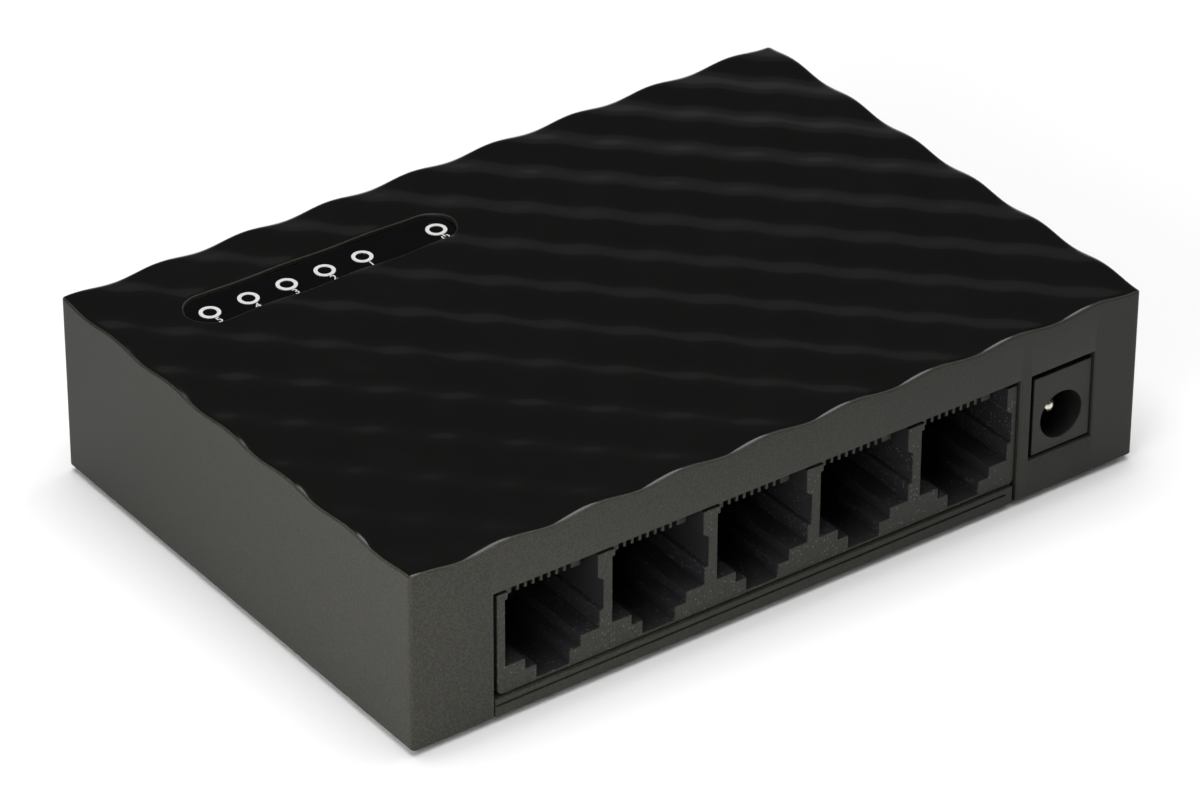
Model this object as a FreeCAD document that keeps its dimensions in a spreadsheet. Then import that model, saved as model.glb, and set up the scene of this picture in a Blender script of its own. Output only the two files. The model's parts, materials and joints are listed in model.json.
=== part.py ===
import FreeCAD, Part
import math
import os

import Sketcher
from FreeCAD import Rotation, Vector

# A five-port desktop network switch.
#
# Every piece is drawn in the case's own corner frame, in millimetres: X runs along the socket side
# from the end away from the power inlet, Y runs back from the socket side, and Z rises from the
# lower edge of the case. The Placement of each piece then moves it into the row frame, whose origin
# is under the middle of the case, on the surface that the rubber feet stand on.
#
# The circuit board hangs upside down near the top of the case: the sockets, the power inlet and the
# chips are below it, and the indicator lamps are on its upper side.

DIMENSIONS = {
    # Case
    "cover_width": 98.6,
    "cover_depth": 68.2,
    "cover_height": 21.9,
    "corner_radius": 0.5,
    "wall_thick": 2.0,
    "top_thick": 1.8,
    "foot_stand": 0.8,
    "clearance": 0.15,
    "root_overlap": 0.45,
    # Egg-crate wave of the glossy top: a product of two cosines
    "wave_height": 0.28,
    "wave_pitch": 11.38,
    "wave_lead_x": -1.29,
    "wave_lead_y": -0.55,
    # Cut-outs in the wall on the socket side
    "slot_left": 10.5,
    "slot_right": 81.6,
    "slot_top": 15.85,
    "inlet_left": 83.25,
    "inlet_right": 92.25,
    "inlet_bottom": 4.72,
    # Base plate
    "base_thick": 1.8,
    "base_gap": 0.15,
    "tongue_height": 2.22,
    "tongue_right": 81.15,
    "tongue_groove_z": 1.3,
    "tongue_groove": 0.25,
    "tongue_groove_end": 80.2,
    "foot_radius": 4.0,
    "foot_recess": 0.7,
    "foot_bevel": 0.25,
    "foot_left": 15.5,
    "foot_right": 83.1,
    "foot_front": 10.0,
    "foot_back": 58.2,
    "vent_width": 1.6,
    "vent_length": 20.0,
    "vent_pitch": 4.0,
    "vent_count": 8,
    "vent_left": 35.35,
    "vent_front": 24.0,
    "keyhole_spacing": 60.0,
    "keyhole_y": 40.0,
    "keyhole_radius": 3.5,
    "keyhole_slot_width": 3.4,
    "keyhole_slot_length": 7.0,
    # Bosses, stand-offs and screws
    "boss_radius": 3.0,
    "boss_bore": 1.2,
    "boss_bore_depth": 12.0,
    "boss_left": 6.2,
    "boss_right": 92.4,
    "boss_front_left_y": 7.5,
    "boss_front_right_y": 20.5,
    "boss_back_y": 61.7,
    "standoff_radius": 2.5,
    "standoff_bore": 0.9,
    "board_screw_1_x": 8.0,
    "board_screw_1_y": 34.0,
    "board_screw_2_x": 90.0,
    "board_screw_2_y": 42.0,
    "board_screw_3_x": 52.0,
    "board_screw_3_y": 61.5,
    "base_head_radius": 2.2,
    "base_head_height": 1.0,
    "base_head_recess": 1.1,
    "base_shank_radius": 1.1,
    "base_shank_length": 9.0,
    "board_head_radius": 1.8,
    "board_head_height": 1.2,
    "board_shank_radius": 0.8,
    "board_shank_length": 4.6,
    "cross_width": 0.5,
    "cross_depth": 0.7,
    "cross_share": 1.2,
    # Circuit board
    "board_bottom": 15.7,
    "board_thick": 1.6,
    "board_left": 2.6,
    "board_right": 96.0,
    "board_front": 2.4,
    "board_back": 65.6,
    "boss_clearance": 4.2,
    "lead_hole_radius": 0.4,
    # Network sockets: one moulding with five apertures, latch side down
    "jack_left": 11.15,
    "jack_right": 81.5,
    "jack_front": 0.35,
    "jack_back": 16.35,
    "jack_bottom": 2.38,
    "jack_lip_top": 15.25,
    "jack_corner": 0.8,
    "port_count": 5,
    "port_pitch": 13.97,
    "first_port_x": 18.4,
    "port_depth": 12.0,
    "plug_floor": 5.8,
    "keyway_floor": 4.45,
    "latch_floor": 2.75,
    "left_half_width": 6.2,
    "low_half_width": 6.1,
    "relief_half_width": 6.6,
    "guide_half_width": 5.85,
    "relief_bottom": 8.0,
    "relief_top": 11.75,
    "guide_bottom": 12.3,
    "keyway_half_width": 3.62,
    "latch_half_width": 2.15,
    "lead_channel_z": 14.3,
    # Contact carrier of each socket
    "carrier_front": 2.5,
    "carrier_back": 12.6,
    "carrier_bottom": 14.35,
    "carrier_top": 15.55,
    "carrier_half_width": 5.75,
    "carrier_groove": 0.46,
    "carrier_groove_top": 15.2,
    "comb_bottom": 13.15,
    "comb_depth": 1.3,
    "comb_groove": 0.64,
    "comb_right_reach": 5.1,
    # Contact wires: eight to a socket, each a flat strip bent over a nose
    "contact_count": 8,
    "contact_pitch": 1.016,
    "contact_width": 0.35,
    "contact_thick": 0.3,
    "nose_y": 3.35,
    "nose_z": 14.38,
    "nose_radius": 0.62,
    "contact_slope": 20.0,
    "contact_length": 7.6,
    "tail_row_1": 13.6,
    "tail_row_2": 15.6,
    "tail_top": 18.4,
    # Power inlet, upside down: its hole is 6.5 below the board
    "power_left": 83.9,
    "power_width": 8.2,
    "power_front": 0.3,
    "power_back": 14.7,
    "power_bottom": 5.0,
    "power_lip_top": 15.05,
    "power_flange": 3.3,
    "power_rear_bottom": 5.4,
    "power_hole_z": 9.1,
    "power_hole_radius": 2.95,
    "power_hole_depth": 10.4,
    "pin_radius": 1.0,
    "pin_shank_radius": 1.3,
    "pin_tip": 2.0,
    "leaf_width": 2.4,
    "leaf_thick": 0.3,
    "leaf_root_y": 12.7,
    "leaf_root_z": 13.2,
    "leaf_bump_y": 6.4,
    "leaf_bump_z": 11.6,
    "leaf_front_y": 3.9,
    "leaf_front_z": 12.75,
    "terminal_thick": 0.5,
    "terminal_width": 2.6,
    "terminal_top": 18.6,
    "terminal_bottom": 7.5,
    "pin_rivet_radius": 1.4,
    "leaf_clearance": 0.2,
    "leaf_end_gap": 0.05,
    "leaf_slot_bottom": 11.4,
    # Indicators
    "label_left": 9.3,
    "label_right": 44.8,
    "label_front": 53.85,
    "label_back": 59.75,
    "label_recess_floor": 21.1,
    "label_thick": 0.45,
    "ring_first_x": 12.0,
    "ring_pitch": 5.08,
    "ring_power_x": 42.4,
    "ring_y": 56.45,
    "ring_radius": 1.25,
    "ring_hole": 0.8,
    "ring_thick": 0.06,
    "lamp_hole_radius": 0.9,
    "lamp_well_radius": 2.1,
    "lamp_well_bore": 1.5,
    "lamp_well_bottom": 18.5,
    "lamp_length": 2.0,
    "lamp_width": 1.25,
    "lamp_height": 0.8,
    # Chips and other parts under the board
    "chip_size": 14.0,
    "chip_thick": 1.4,
    "chip_standoff": 0.1,
    "chip_bevel": 0.3,
    "chip_x": 46.0,
    "chip_y": 42.0,
    "chip_lead_pitch": 0.8,
    "chip_lead_count": 16,
    "chip_lead_width": 0.3,
    "chip_lead_reach": 1.0,
    "chip_lead_thick": 0.15,
    "chip_lead_drop": 0.8,
    "module_width": 12.4,
    "module_depth": 7.0,
    "module_height": 5.6,
    "module_front": 19.0,
    "crystal_length": 11.0,
    "crystal_width": 4.6,
    "crystal_height": 3.6,
    "crystal_x": 30.0,
    "crystal_y": 42.0,
    "memory_x": 64.0,
    "memory_y": 50.0,
    "memory_length": 4.9,
    "memory_width": 3.9,
    "memory_height": 1.5,
    "memory_lead_pitch": 1.27,
    "memory_lead_count": 4,
    "small_lead_width": 0.4,
    "regulator_x": 88.0,
    "regulator_y": 28.5,
    "regulator_length": 2.9,
    "regulator_width": 1.6,
    "regulator_height": 1.1,
    "regulator_lead_pitch": 0.95,
    "regulator_lead_count": 3,
    "inductor_x": 80.0,
    "inductor_y": 33.0,
    "inductor_size": 5.8,
    "inductor_height": 4.0,
    "inductor_bevel": 1.2,
    "diode_x": 85.0,
    "diode_y": 18.3,
    "diode_length": 4.3,
    "diode_width": 2.6,
    "diode_height": 2.2,
    "capacitor_radius": 3.15,
    "capacitor_height": 7.0,
    "capacitor_x": 80.0,
    "capacitor_y": 44.0,
    "capacitor_pitch": 8.0,
    "capacitor_bevel": 0.25,
    "capacitor_crimp_z": 1.4,
    "capacitor_crimp_half": 0.45,
    "capacitor_crimp_depth": 0.38,
    "passive_length": 1.6,
    "passive_width": 0.8,
    "passive_height": 0.6,
    "passive_left": 38.0,
    "passive_pitch": 2.2,
    "passive_count": 8,
    "passive_row_1": 30.5,
    "passive_row_2": 53.0,
    "passive_row_3": 56.0,
}

SUB_PARTS = []
TOLERANCE = 1e-6

doc = FreeCAD.newDocument("network_switch")
dims = doc.addObject("Spreadsheet::Sheet", "dims")
for row, (alias, value) in enumerate(DIMENSIONS.items(), start=1):
    dims.set(f"A{row}", alias)
    dims.set(f"B{row}", str(value))
    dims.setAlias(f"B{row}", alias)
doc.recompute()


def cell(alias):
    """The number in one cell of the sheet."""
    return float(dims.get(alias))


def number(expression):
    """The value that an expression of the sheet's cells has now."""
    return float(dims.evalExpression(expression))


def bind(item, bindings):
    """Bind properties of an object to expressions of the sheet's cells."""
    for name, expression in bindings.items():
        item.setExpression(name, expression)


def sub_part(item, label):
    """Name a finished piece and move it from the corner frame into the row frame."""
    item.Label = label
    bind(item, {
        "Placement.Base.x": "-dims.cover_width / 2",
        "Placement.Base.y": "-dims.cover_depth / 2",
        "Placement.Base.z": "dims.foot_stand",
    })
    SUB_PARTS.append(item)
    return item


# ---- Part primitives and booleans ---------------------------------------------------------------


def block(name, corner, size):
    """A box from its low corner, with every size and place an expression."""
    box = doc.addObject("Part::Box", name)
    bind(box, dict(zip(("Length", "Width", "Height"), size)))
    bind(box, dict(zip(("Placement.Base.x", "Placement.Base.y", "Placement.Base.z"), corner)))
    return box


def centred_block(name, centre, size):
    """A box given by the middle of its lower face."""
    x, y, z = centre
    length, width, height = size
    return block(name, (f"{x} - ({length}) / 2", f"{y} - ({width}) / 2", z), size)


def rod(name, start, radius, length, axis="z"):
    """A cylinder along +Z or +Y from the middle of its first end."""
    cylinder = doc.addObject("Part::Cylinder", name)
    if axis == "y":
        cylinder.Placement.Rotation = Rotation(Vector(1, 0, 0), -90)
    bind(cylinder, {"Radius": radius, "Height": length})
    bind(cylinder, dict(zip(("Placement.Base.x", "Placement.Base.y", "Placement.Base.z"), start)))
    return cylinder


def fuse(name, pieces):
    """One solid from pieces that overlap or touch."""
    result = doc.addObject("Part::MultiFuse", name)
    result.Shapes = pieces
    return result


def group(name, pieces):
    """Separate solids kept together as one node."""
    result = doc.addObject("Part::Compound", name)
    result.Links = pieces
    return result


def cut(name, base, tool):
    """The base with the tool's space taken away."""
    result = doc.addObject("Part::Cut", name)
    result.Base = base
    result.Tool = tool
    return result


# ---- PartDesign bodies --------------------------------------------------------------------------


def new_body(name):
    return doc.addObject("PartDesign::Body", name)


def sketch_on(body, name, plane, offset="0"):
    """A sketch on one of the body's own planes, at a distance along X, Y or Z."""
    sketch = body.newObject("Sketcher::SketchObject", name)
    base_plane = next(item for item in body.Origin.OriginFeatures if item.Role == f"{plane}_Plane")
    sketch.AttachmentSupport = [(base_plane, "")]
    sketch.MapMode = "FlatFace"
    # The XZ plane faces -Y, so a place along +Y is a negative offset there.
    sign = "-" if plane == "XZ" else ""
    sketch.setExpression("AttachmentOffset.Base.z", f"{sign}({offset})")
    return sketch


def pin_point(sketch, geometry, place, point):
    """Hold one point of a sketch at coordinates given as expressions."""
    for kind, expression in zip(("DistanceX", "DistanceY"), point):
        index = sketch.addConstraint(Sketcher.Constraint(kind, geometry, place, number(expression)))
        sketch.setExpression(f"Constraints[{index}]", expression)


def outline(sketch, points):
    """A closed outline of straight lines through points given as pairs of expressions."""
    first = sketch.GeometryCount
    count = len(points)
    places = [Vector(number(x), number(y), 0) for x, y in points]
    for index in range(count):
        sketch.addGeometry(Part.LineSegment(places[index], places[(index + 1) % count]), False)
    for index in range(count):
        following = first + (index + 1) % count
        sketch.addConstraint(Sketcher.Constraint("Coincident", first + index, 2, following, 1))
    for index, point in enumerate(points):
        pin_point(sketch, first + index, 1, point)


def rectangle(sketch, left, bottom, right, top):
    outline(sketch, [(left, bottom), (right, bottom), (right, top), (left, top)])


def circle(sketch, centre, radius):
    place = Vector(number(centre[0]), number(centre[1]), 0)
    index = sketch.addGeometry(Part.Circle(place, Vector(0, 0, 1), number(radius)), False)
    constraint = sketch.addConstraint(Sketcher.Constraint("Radius", index, number(radius)))
    sketch.setExpression(f"Constraints[{constraint}]", radius)
    pin_point(sketch, index, 3, centre)


def pad(body, sketch, length, backwards=False, midplane=False):
    feature = body.newObject("PartDesign::Pad", f"{sketch.Name}_pad")
    feature.Profile = sketch
    feature.Reversed = backwards
    feature.Midplane = midplane
    feature.setExpression("Length", length)
    sketch.Visibility = False
    return feature


def pocket(body, sketch, length, backwards=False):
    feature = body.newObject("PartDesign::Pocket", f"{sketch.Name}_pocket")
    feature.Profile = sketch
    feature.Reversed = backwards
    feature.setExpression("Length", length)
    sketch.Visibility = False
    return feature


def repeat(body, sketch, features, axis, pitch, count):
    """Repeat features along a sketch axis at an even pitch."""
    feature = body.newObject("PartDesign::LinearPattern", f"{sketch.Name}_pattern")
    feature.Originals = features
    feature.Direction = (sketch, [axis])
    feature.setExpression("Occurrences", count)
    feature.setExpression("Length", f"({pitch}) * (({count}) - 1)")
    body.Tip = feature
    return feature


def turned(body, sketch):
    """Turn a sketch once round its vertical axis."""
    feature = body.newObject("PartDesign::Revolution", f"{sketch.Name}_turn")
    feature.Profile = sketch
    feature.ReferenceAxis = (sketch, ["V_Axis"])
    feature.Angle = 360
    return feature


def edges_where(shape, test):
    """Names of the edges that pass the test."""
    return [f"Edge{index}" for index, edge in enumerate(shape.Edges, start=1) if test(edge)]


def is_upright(edge):
    """Whether an edge is a straight line along Z."""
    ends = [vertex.Point for vertex in edge.Vertexes]
    return len(ends) == 2 and ends[0].sub(ends[1]).cross(Vector(0, 0, 1)).Length < TOLERANCE


def is_at(edge, height):
    """Whether an edge lies level at a height."""
    box = edge.BoundBox
    return abs(box.ZMax - height) < TOLERANCE and abs(box.ZMin - height) < TOLERANCE


def bevelled(name, solid, edge_test, size):
    """A plain primitive with a chamfer along the edges that pass the test."""
    doc.recompute()
    result = doc.addObject("Part::Chamfer", name)
    result.Base = solid
    chosen = [index for index, edge in enumerate(solid.Shape.Edges, start=1) if edge_test(edge)]
    result.Edges = [(index, cell(size), cell(size)) for index in chosen]
    return result


def port_x(port):
    """Middle of a socket, counted from 0, as an expression."""
    return f"(dims.first_port_x + {port} * dims.port_pitch)"


# ---- Case ---------------------------------------------------------------------------------------

BOSSES = [
    ("dims.boss_left", "dims.boss_front_left_y"),
    ("dims.boss_right", "dims.boss_front_right_y"),
    ("dims.boss_left", "dims.boss_back_y"),
    ("dims.boss_right", "dims.boss_back_y"),
]
BOARD_SCREWS = [(f"dims.board_screw_{count}_x", f"dims.board_screw_{count}_y") for count in (1, 2, 3)]
LAMPS = [f"(dims.ring_first_x + {count} * dims.ring_pitch)" for count in range(5)]
LAMPS.append("dims.ring_power_x")
INNER_TOP = "(dims.cover_height - dims.top_thick)"
BOARD_TOP = "(dims.board_bottom + dims.board_thick)"


def wave_height_at(x, y):
    """Height of the waved top over a point of the case."""
    turn = 2 * math.pi / cell("wave_pitch")
    along = math.cos(turn * (x + cell("wave_lead_x")))
    across = math.cos(turn * (y + cell("wave_lead_y")))
    return cell("cover_height") + cell("wave_height") * along * across


def make_wave_tool():
    """Everything above the waved top: a spline surface raised into a solid."""
    margin = cell("wave_pitch") / 4
    step = cell("wave_pitch") / 10
    x_count = math.ceil((cell("cover_width") + 2 * margin) / step)
    y_count = math.ceil((cell("cover_depth") + 2 * margin) / step)
    grid = []
    for x_index in range(x_count + 1):
        x = x_index * step - margin
        line = [(x, y_index * step - margin) for y_index in range(y_count + 1)]
        grid.append([Vector(x, y, wave_height_at(x, y)) for x, y in line])
    surface = Part.BSplineSurface()
    surface.interpolate(grid)
    tool = doc.addObject("Part::Feature", "wave_tool")
    tool.Shape = surface.toShape().extrude(Vector(0, 0, 10 * cell("wave_height")))
    return tool


def make_label_recess():
    """The long flat-floored recess in the top for the indicator label."""
    floor = "dims.label_recess_floor"
    depth = "4 * dims.top_thick"
    radius = "((dims.label_back - dims.label_front) / 2)"
    middle = "(dims.label_front + dims.label_back) / 2"
    straight = f"dims.label_right - dims.label_left - 2 * {radius}"
    pieces = [
        block("recess_middle", (f"dims.label_left + {radius}", "dims.label_front", floor),
              (straight, f"2 * {radius}", depth)),
        rod("recess_left", (f"dims.label_left + {radius}", middle, floor), radius, depth),
        rod("recess_right", (f"dims.label_right - {radius}", middle, floor), radius, depth),
    ]
    return fuse("label_recess", pieces)


def make_top_cover():
    body = new_body("cover_shell")
    plan = sketch_on(body, "cover_plan", "XY")
    rectangle(plan, "0", "0", "dims.cover_width", "dims.cover_depth")
    blank = pad(body, plan, "dims.cover_height + 2 * dims.wave_height")
    doc.recompute()
    corners = body.newObject("PartDesign::Fillet", "cover_corners")
    corners.Base = (blank, edges_where(blank.Shape, is_upright))
    corners.setExpression("Radius", "dims.corner_radius")

    hollow = sketch_on(body, "cover_hollow", "XY")
    rectangle(hollow, "dims.wall_thick", "dims.wall_thick",
              "dims.cover_width - dims.wall_thick", "dims.cover_depth - dims.wall_thick")
    pocket(body, hollow, INNER_TOP, backwards=True)

    slot = sketch_on(body, "socket_slot", "XZ")
    rectangle(slot, "dims.slot_left", "-dims.wall_thick", "dims.slot_right", "dims.slot_top")
    pocket(body, slot, "dims.wall_thick")
    inlet = sketch_on(body, "inlet_window", "XZ")
    rectangle(inlet, "dims.inlet_left", "dims.inlet_bottom", "dims.inlet_right", "dims.slot_top")
    pocket(body, inlet, "dims.wall_thick")

    bosses = sketch_on(body, "case_bosses", "XY", "dims.base_thick")
    for centre in BOSSES:
        circle(bosses, centre, "dims.boss_radius")
    pad(body, bosses, f"{INNER_TOP} - dims.base_thick + dims.root_overlap")
    bores = sketch_on(body, "case_boss_bores", "XY", "dims.base_thick")
    for centre in BOSSES:
        circle(bores, centre, "dims.boss_bore")
    pocket(body, bores, "dims.boss_bore_depth", backwards=True)

    standoffs = sketch_on(body, "board_standoffs", "XY", BOARD_TOP)
    for centre in BOARD_SCREWS:
        circle(standoffs, centre, "dims.standoff_radius")
    pad(body, standoffs, f"{INNER_TOP} - {BOARD_TOP} + dims.root_overlap")
    standoff_bores = sketch_on(body, "board_standoff_bores", "XY", BOARD_TOP)
    for centre in BOARD_SCREWS:
        circle(standoff_bores, centre, "dims.standoff_bore")
    pocket(body, standoff_bores, "dims.board_shank_length - dims.board_thick + dims.clearance",
           backwards=True)

    wells = sketch_on(body, "lamp_wells", "XY", "dims.lamp_well_bottom")
    for x in LAMPS:
        circle(wells, (x, "dims.ring_y"), "dims.lamp_well_radius")
    pad(body, wells, f"{INNER_TOP} - dims.lamp_well_bottom + dims.root_overlap")
    well_bores = sketch_on(body, "lamp_well_bores", "XY", "dims.lamp_well_bottom")
    for x in LAMPS:
        circle(well_bores, (x, "dims.ring_y"), "dims.lamp_well_bore")
    pocket(body, well_bores, f"{INNER_TOP} - dims.lamp_well_bottom", backwards=True)
    lamp_holes = sketch_on(body, "lamp_holes", "XY", INNER_TOP)
    for x in LAMPS:
        circle(lamp_holes, (x, "dims.ring_y"), "dims.lamp_hole_radius")
    pocket(body, lamp_holes, "2 * dims.top_thick", backwards=True)

    recessed = cut("cover_recessed", body, make_label_recess())
    return sub_part(cut("cover_waved", recessed, make_wave_tool()), "top_cover")


def make_base_plate():
    body = new_body("base_plate_body")
    plan = sketch_on(body, "base_plan", "XY")
    inset = "(dims.wall_thick + dims.base_gap)"
    front_left = "dims.slot_left + dims.base_gap"
    outline(plan, [
        (front_left, "0"),
        ("dims.tongue_right", "0"),
        ("dims.tongue_right", inset),
        (f"dims.cover_width - {inset}", inset),
        (f"dims.cover_width - {inset}", f"dims.cover_depth - {inset}"),
        (inset, f"dims.cover_depth - {inset}"),
        (inset, inset),
        (front_left, inset),
    ])
    pad(body, plan, "dims.base_thick")
    tongue = sketch_on(body, "base_tongue", "XY", "dims.base_thick")
    rectangle(tongue, front_left, "0", "dims.tongue_right", inset)
    pad(body, tongue, "dims.tongue_height - dims.base_thick")
    groove = sketch_on(body, "tongue_groove", "XZ")
    rectangle(groove, "dims.slot_left", "dims.tongue_groove_z",
              "dims.tongue_groove_end", "dims.tongue_groove_z + dims.tongue_groove")
    pocket(body, groove, "dims.tongue_groove")

    feet = sketch_on(body, "foot_recesses", "XY")
    for x in ("dims.foot_left", "dims.foot_right"):
        for y in ("dims.foot_front", "dims.foot_back"):
            circle(feet, (x, y), "dims.foot_radius + dims.clearance")
    pocket(body, feet, "dims.foot_recess", backwards=True)
    heads = sketch_on(body, "screw_head_recesses", "XY")
    for centre in BOSSES:
        circle(heads, centre, "dims.base_head_radius + dims.clearance")
    pocket(body, heads, "dims.base_head_recess", backwards=True)
    holes = sketch_on(body, "base_screw_holes", "XY")
    for centre in BOSSES:
        circle(holes, centre, "dims.base_shank_radius + dims.clearance")
    pocket(body, holes, "dims.base_thick", backwards=True)

    vent = sketch_on(body, "vent_slot", "XY")
    rectangle(vent, "dims.vent_left - dims.vent_width / 2", "dims.vent_front",
              "dims.vent_left + dims.vent_width / 2", "dims.vent_front + dims.vent_length")
    vent_cut = pocket(body, vent, "dims.base_thick", backwards=True)
    repeat(body, vent, [vent_cut], "H_Axis", "dims.vent_pitch", "dims.vent_count")

    tools = []
    for side in (-1, 1):
        x = f"(dims.cover_width + {side} * dims.keyhole_spacing) / 2"
        tools.append(rod("keyhole_entry", (x, "dims.keyhole_y", "0"), "dims.keyhole_radius",
                         "dims.base_thick"))
        tools.append(block("keyhole_slot", (f"{x} - dims.keyhole_slot_width / 2", "dims.keyhole_y", "0"),
                           ("dims.keyhole_slot_width", "dims.keyhole_slot_length", "dims.base_thick")))
    return sub_part(cut("base_cut", body, fuse("keyholes", tools)), "base_plate")


def make_rubber_feet():
    feet = []
    height = "(dims.foot_stand + dims.foot_recess)"
    for x in ("dims.foot_left", "dims.foot_right"):
        for y in ("dims.foot_front", "dims.foot_back"):
            foot = rod("foot", (x, y, "-dims.foot_stand"), "dims.foot_radius", height)
            feet.append(bevelled("foot_bevelled", foot, lambda edge: is_at(edge, -cell("foot_stand")),
                                 "foot_bevel"))
    return sub_part(group("feet", feet), "rubber_feet")


def make_screw(name, centre, head_bottom, head, shank, pointing_up=True):
    """A self-tapping screw, head down, with a cross recess in its head."""
    x, y = centre
    head_radius, head_height = head
    shank_radius, shank_length = shank
    body = fuse(f"{name}_blank", [
        rod(f"{name}_head", (x, y, head_bottom), head_radius, head_height),
        rod(f"{name}_shank", (x, y, head_bottom), shank_radius, f"{head_height} + {shank_length}"),
    ])
    arm = f"{head_radius} * dims.cross_share"
    cross = fuse(f"{name}_cross", [
        centred_block(f"{name}_arm_x", (x, y, head_bottom), (arm, "dims.cross_width", "dims.cross_depth")),
        centred_block(f"{name}_arm_y", (x, y, head_bottom), ("dims.cross_width", arm, "dims.cross_depth")),
    ])
    return cut(name, body, cross)


def make_screws():
    base_head_bottom = "(dims.base_head_recess - dims.base_head_height)"
    base_screws = [
        make_screw("base_screw", centre, base_head_bottom,
                   ("dims.base_head_radius", "dims.base_head_height"),
                   ("dims.base_shank_radius", "dims.base_shank_length"))
        for centre in BOSSES
    ]
    sub_part(group("case_screws", base_screws), "base_screws")
    board_screws = [
        make_screw("board_screw", centre, "(dims.board_bottom - dims.board_head_height)",
                   ("dims.board_head_radius", "dims.board_head_height"),
                   ("dims.board_shank_radius", "dims.board_shank_length"))
        for centre in BOARD_SCREWS
    ]
    sub_part(group("standoff_screws", board_screws), "board_screws")


# ---- Circuit board ------------------------------------------------------------------------------


def contact_x(port, contact):
    """Middle of one contact wire of one socket, both counted from 0."""
    return f"({port_x(port)} + ({contact} - (dims.contact_count - 1) / 2) * dims.contact_pitch)"


def tail_y(contact):
    """The tails of a socket's wires stand in two rows, turn about."""
    return "dims.tail_row_1" if contact % 2 == 0 else "dims.tail_row_2"


POWER_X = "(dims.power_left + dims.power_width / 2)"
PIN_TERMINAL_Y = "(dims.power_back + dims.terminal_thick / 2)"
SLEEVE_TERMINAL_Y = "(dims.leaf_root_y + dims.leaf_end_gap + dims.terminal_thick / 2)"


def make_circuit_board():
    body = new_body("board_body")
    plan = sketch_on(body, "board_plan", "XY", "dims.board_bottom")
    rectangle(plan, "dims.board_left", "dims.board_front", "dims.board_right", "dims.board_back")
    pad(body, plan, "dims.board_thick")
    reliefs = sketch_on(body, "boss_reliefs", "XY", "dims.board_bottom")
    for centre in BOSSES:
        circle(reliefs, centre, "dims.boss_clearance")
    pocket(body, reliefs, "dims.board_thick", backwards=True)
    screw_holes = sketch_on(body, "board_screw_holes", "XY", "dims.board_bottom")
    for centre in BOARD_SCREWS:
        circle(screw_holes, centre, "dims.board_shank_radius + dims.clearance")
    pocket(body, screw_holes, "dims.board_thick", backwards=True)
    tail_holes = sketch_on(body, "tail_holes", "XY", "dims.board_bottom")
    for port in range(int(cell("port_count"))):
        for contact in range(int(cell("contact_count"))):
            circle(tail_holes, (contact_x(port, contact), tail_y(contact)), "dims.lead_hole_radius")
    pocket(body, tail_holes, "dims.board_thick", backwards=True)
    terminal_slots = sketch_on(body, "terminal_slots", "XY", "dims.board_bottom")
    half_slot = "(dims.terminal_width / 2 + dims.clearance)"
    half_gap = "(dims.terminal_thick / 2 + dims.clearance)"
    for y in (PIN_TERMINAL_Y, SLEEVE_TERMINAL_Y):
        rectangle(terminal_slots, f"{POWER_X} - {half_slot}", f"{y} - {half_gap}",
                  f"{POWER_X} + {half_slot}", f"{y} + {half_gap}")
    pocket(body, terminal_slots, "dims.board_thick", backwards=True)
    return sub_part(body, "circuit_board")


# ---- Network sockets ----------------------------------------------------------------------------


def is_lower_jack_corner(edge):
    """Whether an edge runs back along one of the jack's two lower corners."""
    return is_at(edge, cell("jack_bottom")) and edge.BoundBox.XLength < TOLERANCE


def make_jack_housing():
    body = new_body("jack_body")
    front = sketch_on(body, "jack_front_outline", "XZ", "dims.jack_front")
    rectangle(front, "dims.jack_left", "dims.jack_bottom", "dims.jack_right", "dims.jack_lip_top")
    blank = pad(body, front, "dims.jack_back - dims.jack_front", backwards=True)
    doc.recompute()
    corners = body.newObject("PartDesign::Fillet", "jack_corners")
    corners.Base = (blank, edges_where(blank.Shape, is_lower_jack_corner))
    corners.setExpression("Radius", "dims.jack_corner")
    seat = sketch_on(body, "jack_board_seat", "XY", "dims.jack_lip_top")
    rectangle(seat, "dims.jack_left", "dims.board_front", "dims.jack_right", "dims.jack_back")
    pad(body, seat, "dims.board_bottom - dims.jack_lip_top")

    first = port_x(0)
    plug = sketch_on(body, "plug_cavity", "XZ", "dims.jack_front")
    outline(plug, [
        (f"{first} - dims.latch_half_width", "dims.latch_floor"),
        (f"{first} + dims.latch_half_width", "dims.latch_floor"),
        (f"{first} + dims.latch_half_width", "dims.keyway_floor"),
        (f"{first} + dims.keyway_half_width", "dims.keyway_floor"),
        (f"{first} + dims.keyway_half_width", "dims.plug_floor"),
        (f"{first} + dims.low_half_width", "dims.plug_floor"),
        (f"{first} + dims.low_half_width", "dims.relief_bottom"),
        (f"{first} + dims.relief_half_width", "dims.relief_bottom"),
        (f"{first} + dims.relief_half_width", "dims.relief_top"),
        (f"{first} + dims.guide_half_width", "dims.guide_bottom"),
        (f"{first} + dims.guide_half_width", "dims.lead_channel_z"),
        (f"{first} - dims.left_half_width", "dims.lead_channel_z"),
        (f"{first} - dims.left_half_width", "dims.plug_floor"),
        (f"{first} - dims.keyway_half_width", "dims.plug_floor"),
        (f"{first} - dims.keyway_half_width", "dims.keyway_floor"),
        (f"{first} - dims.latch_half_width", "dims.keyway_floor"),
    ])
    plug_cut = pocket(body, plug, "dims.port_depth")
    channel = sketch_on(body, "lead_channel", "XZ", "dims.jack_front")
    rectangle(channel, f"{first} - dims.guide_half_width", "dims.lead_channel_z",
              f"{first} + dims.guide_half_width", "dims.board_bottom")
    channel_cut = pocket(body, channel, "dims.jack_back - dims.jack_front")
    repeat(body, plug, [plug_cut, channel_cut], "H_Axis", "dims.port_pitch", "dims.port_count")
    return sub_part(body, "jack_housing")


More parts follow.
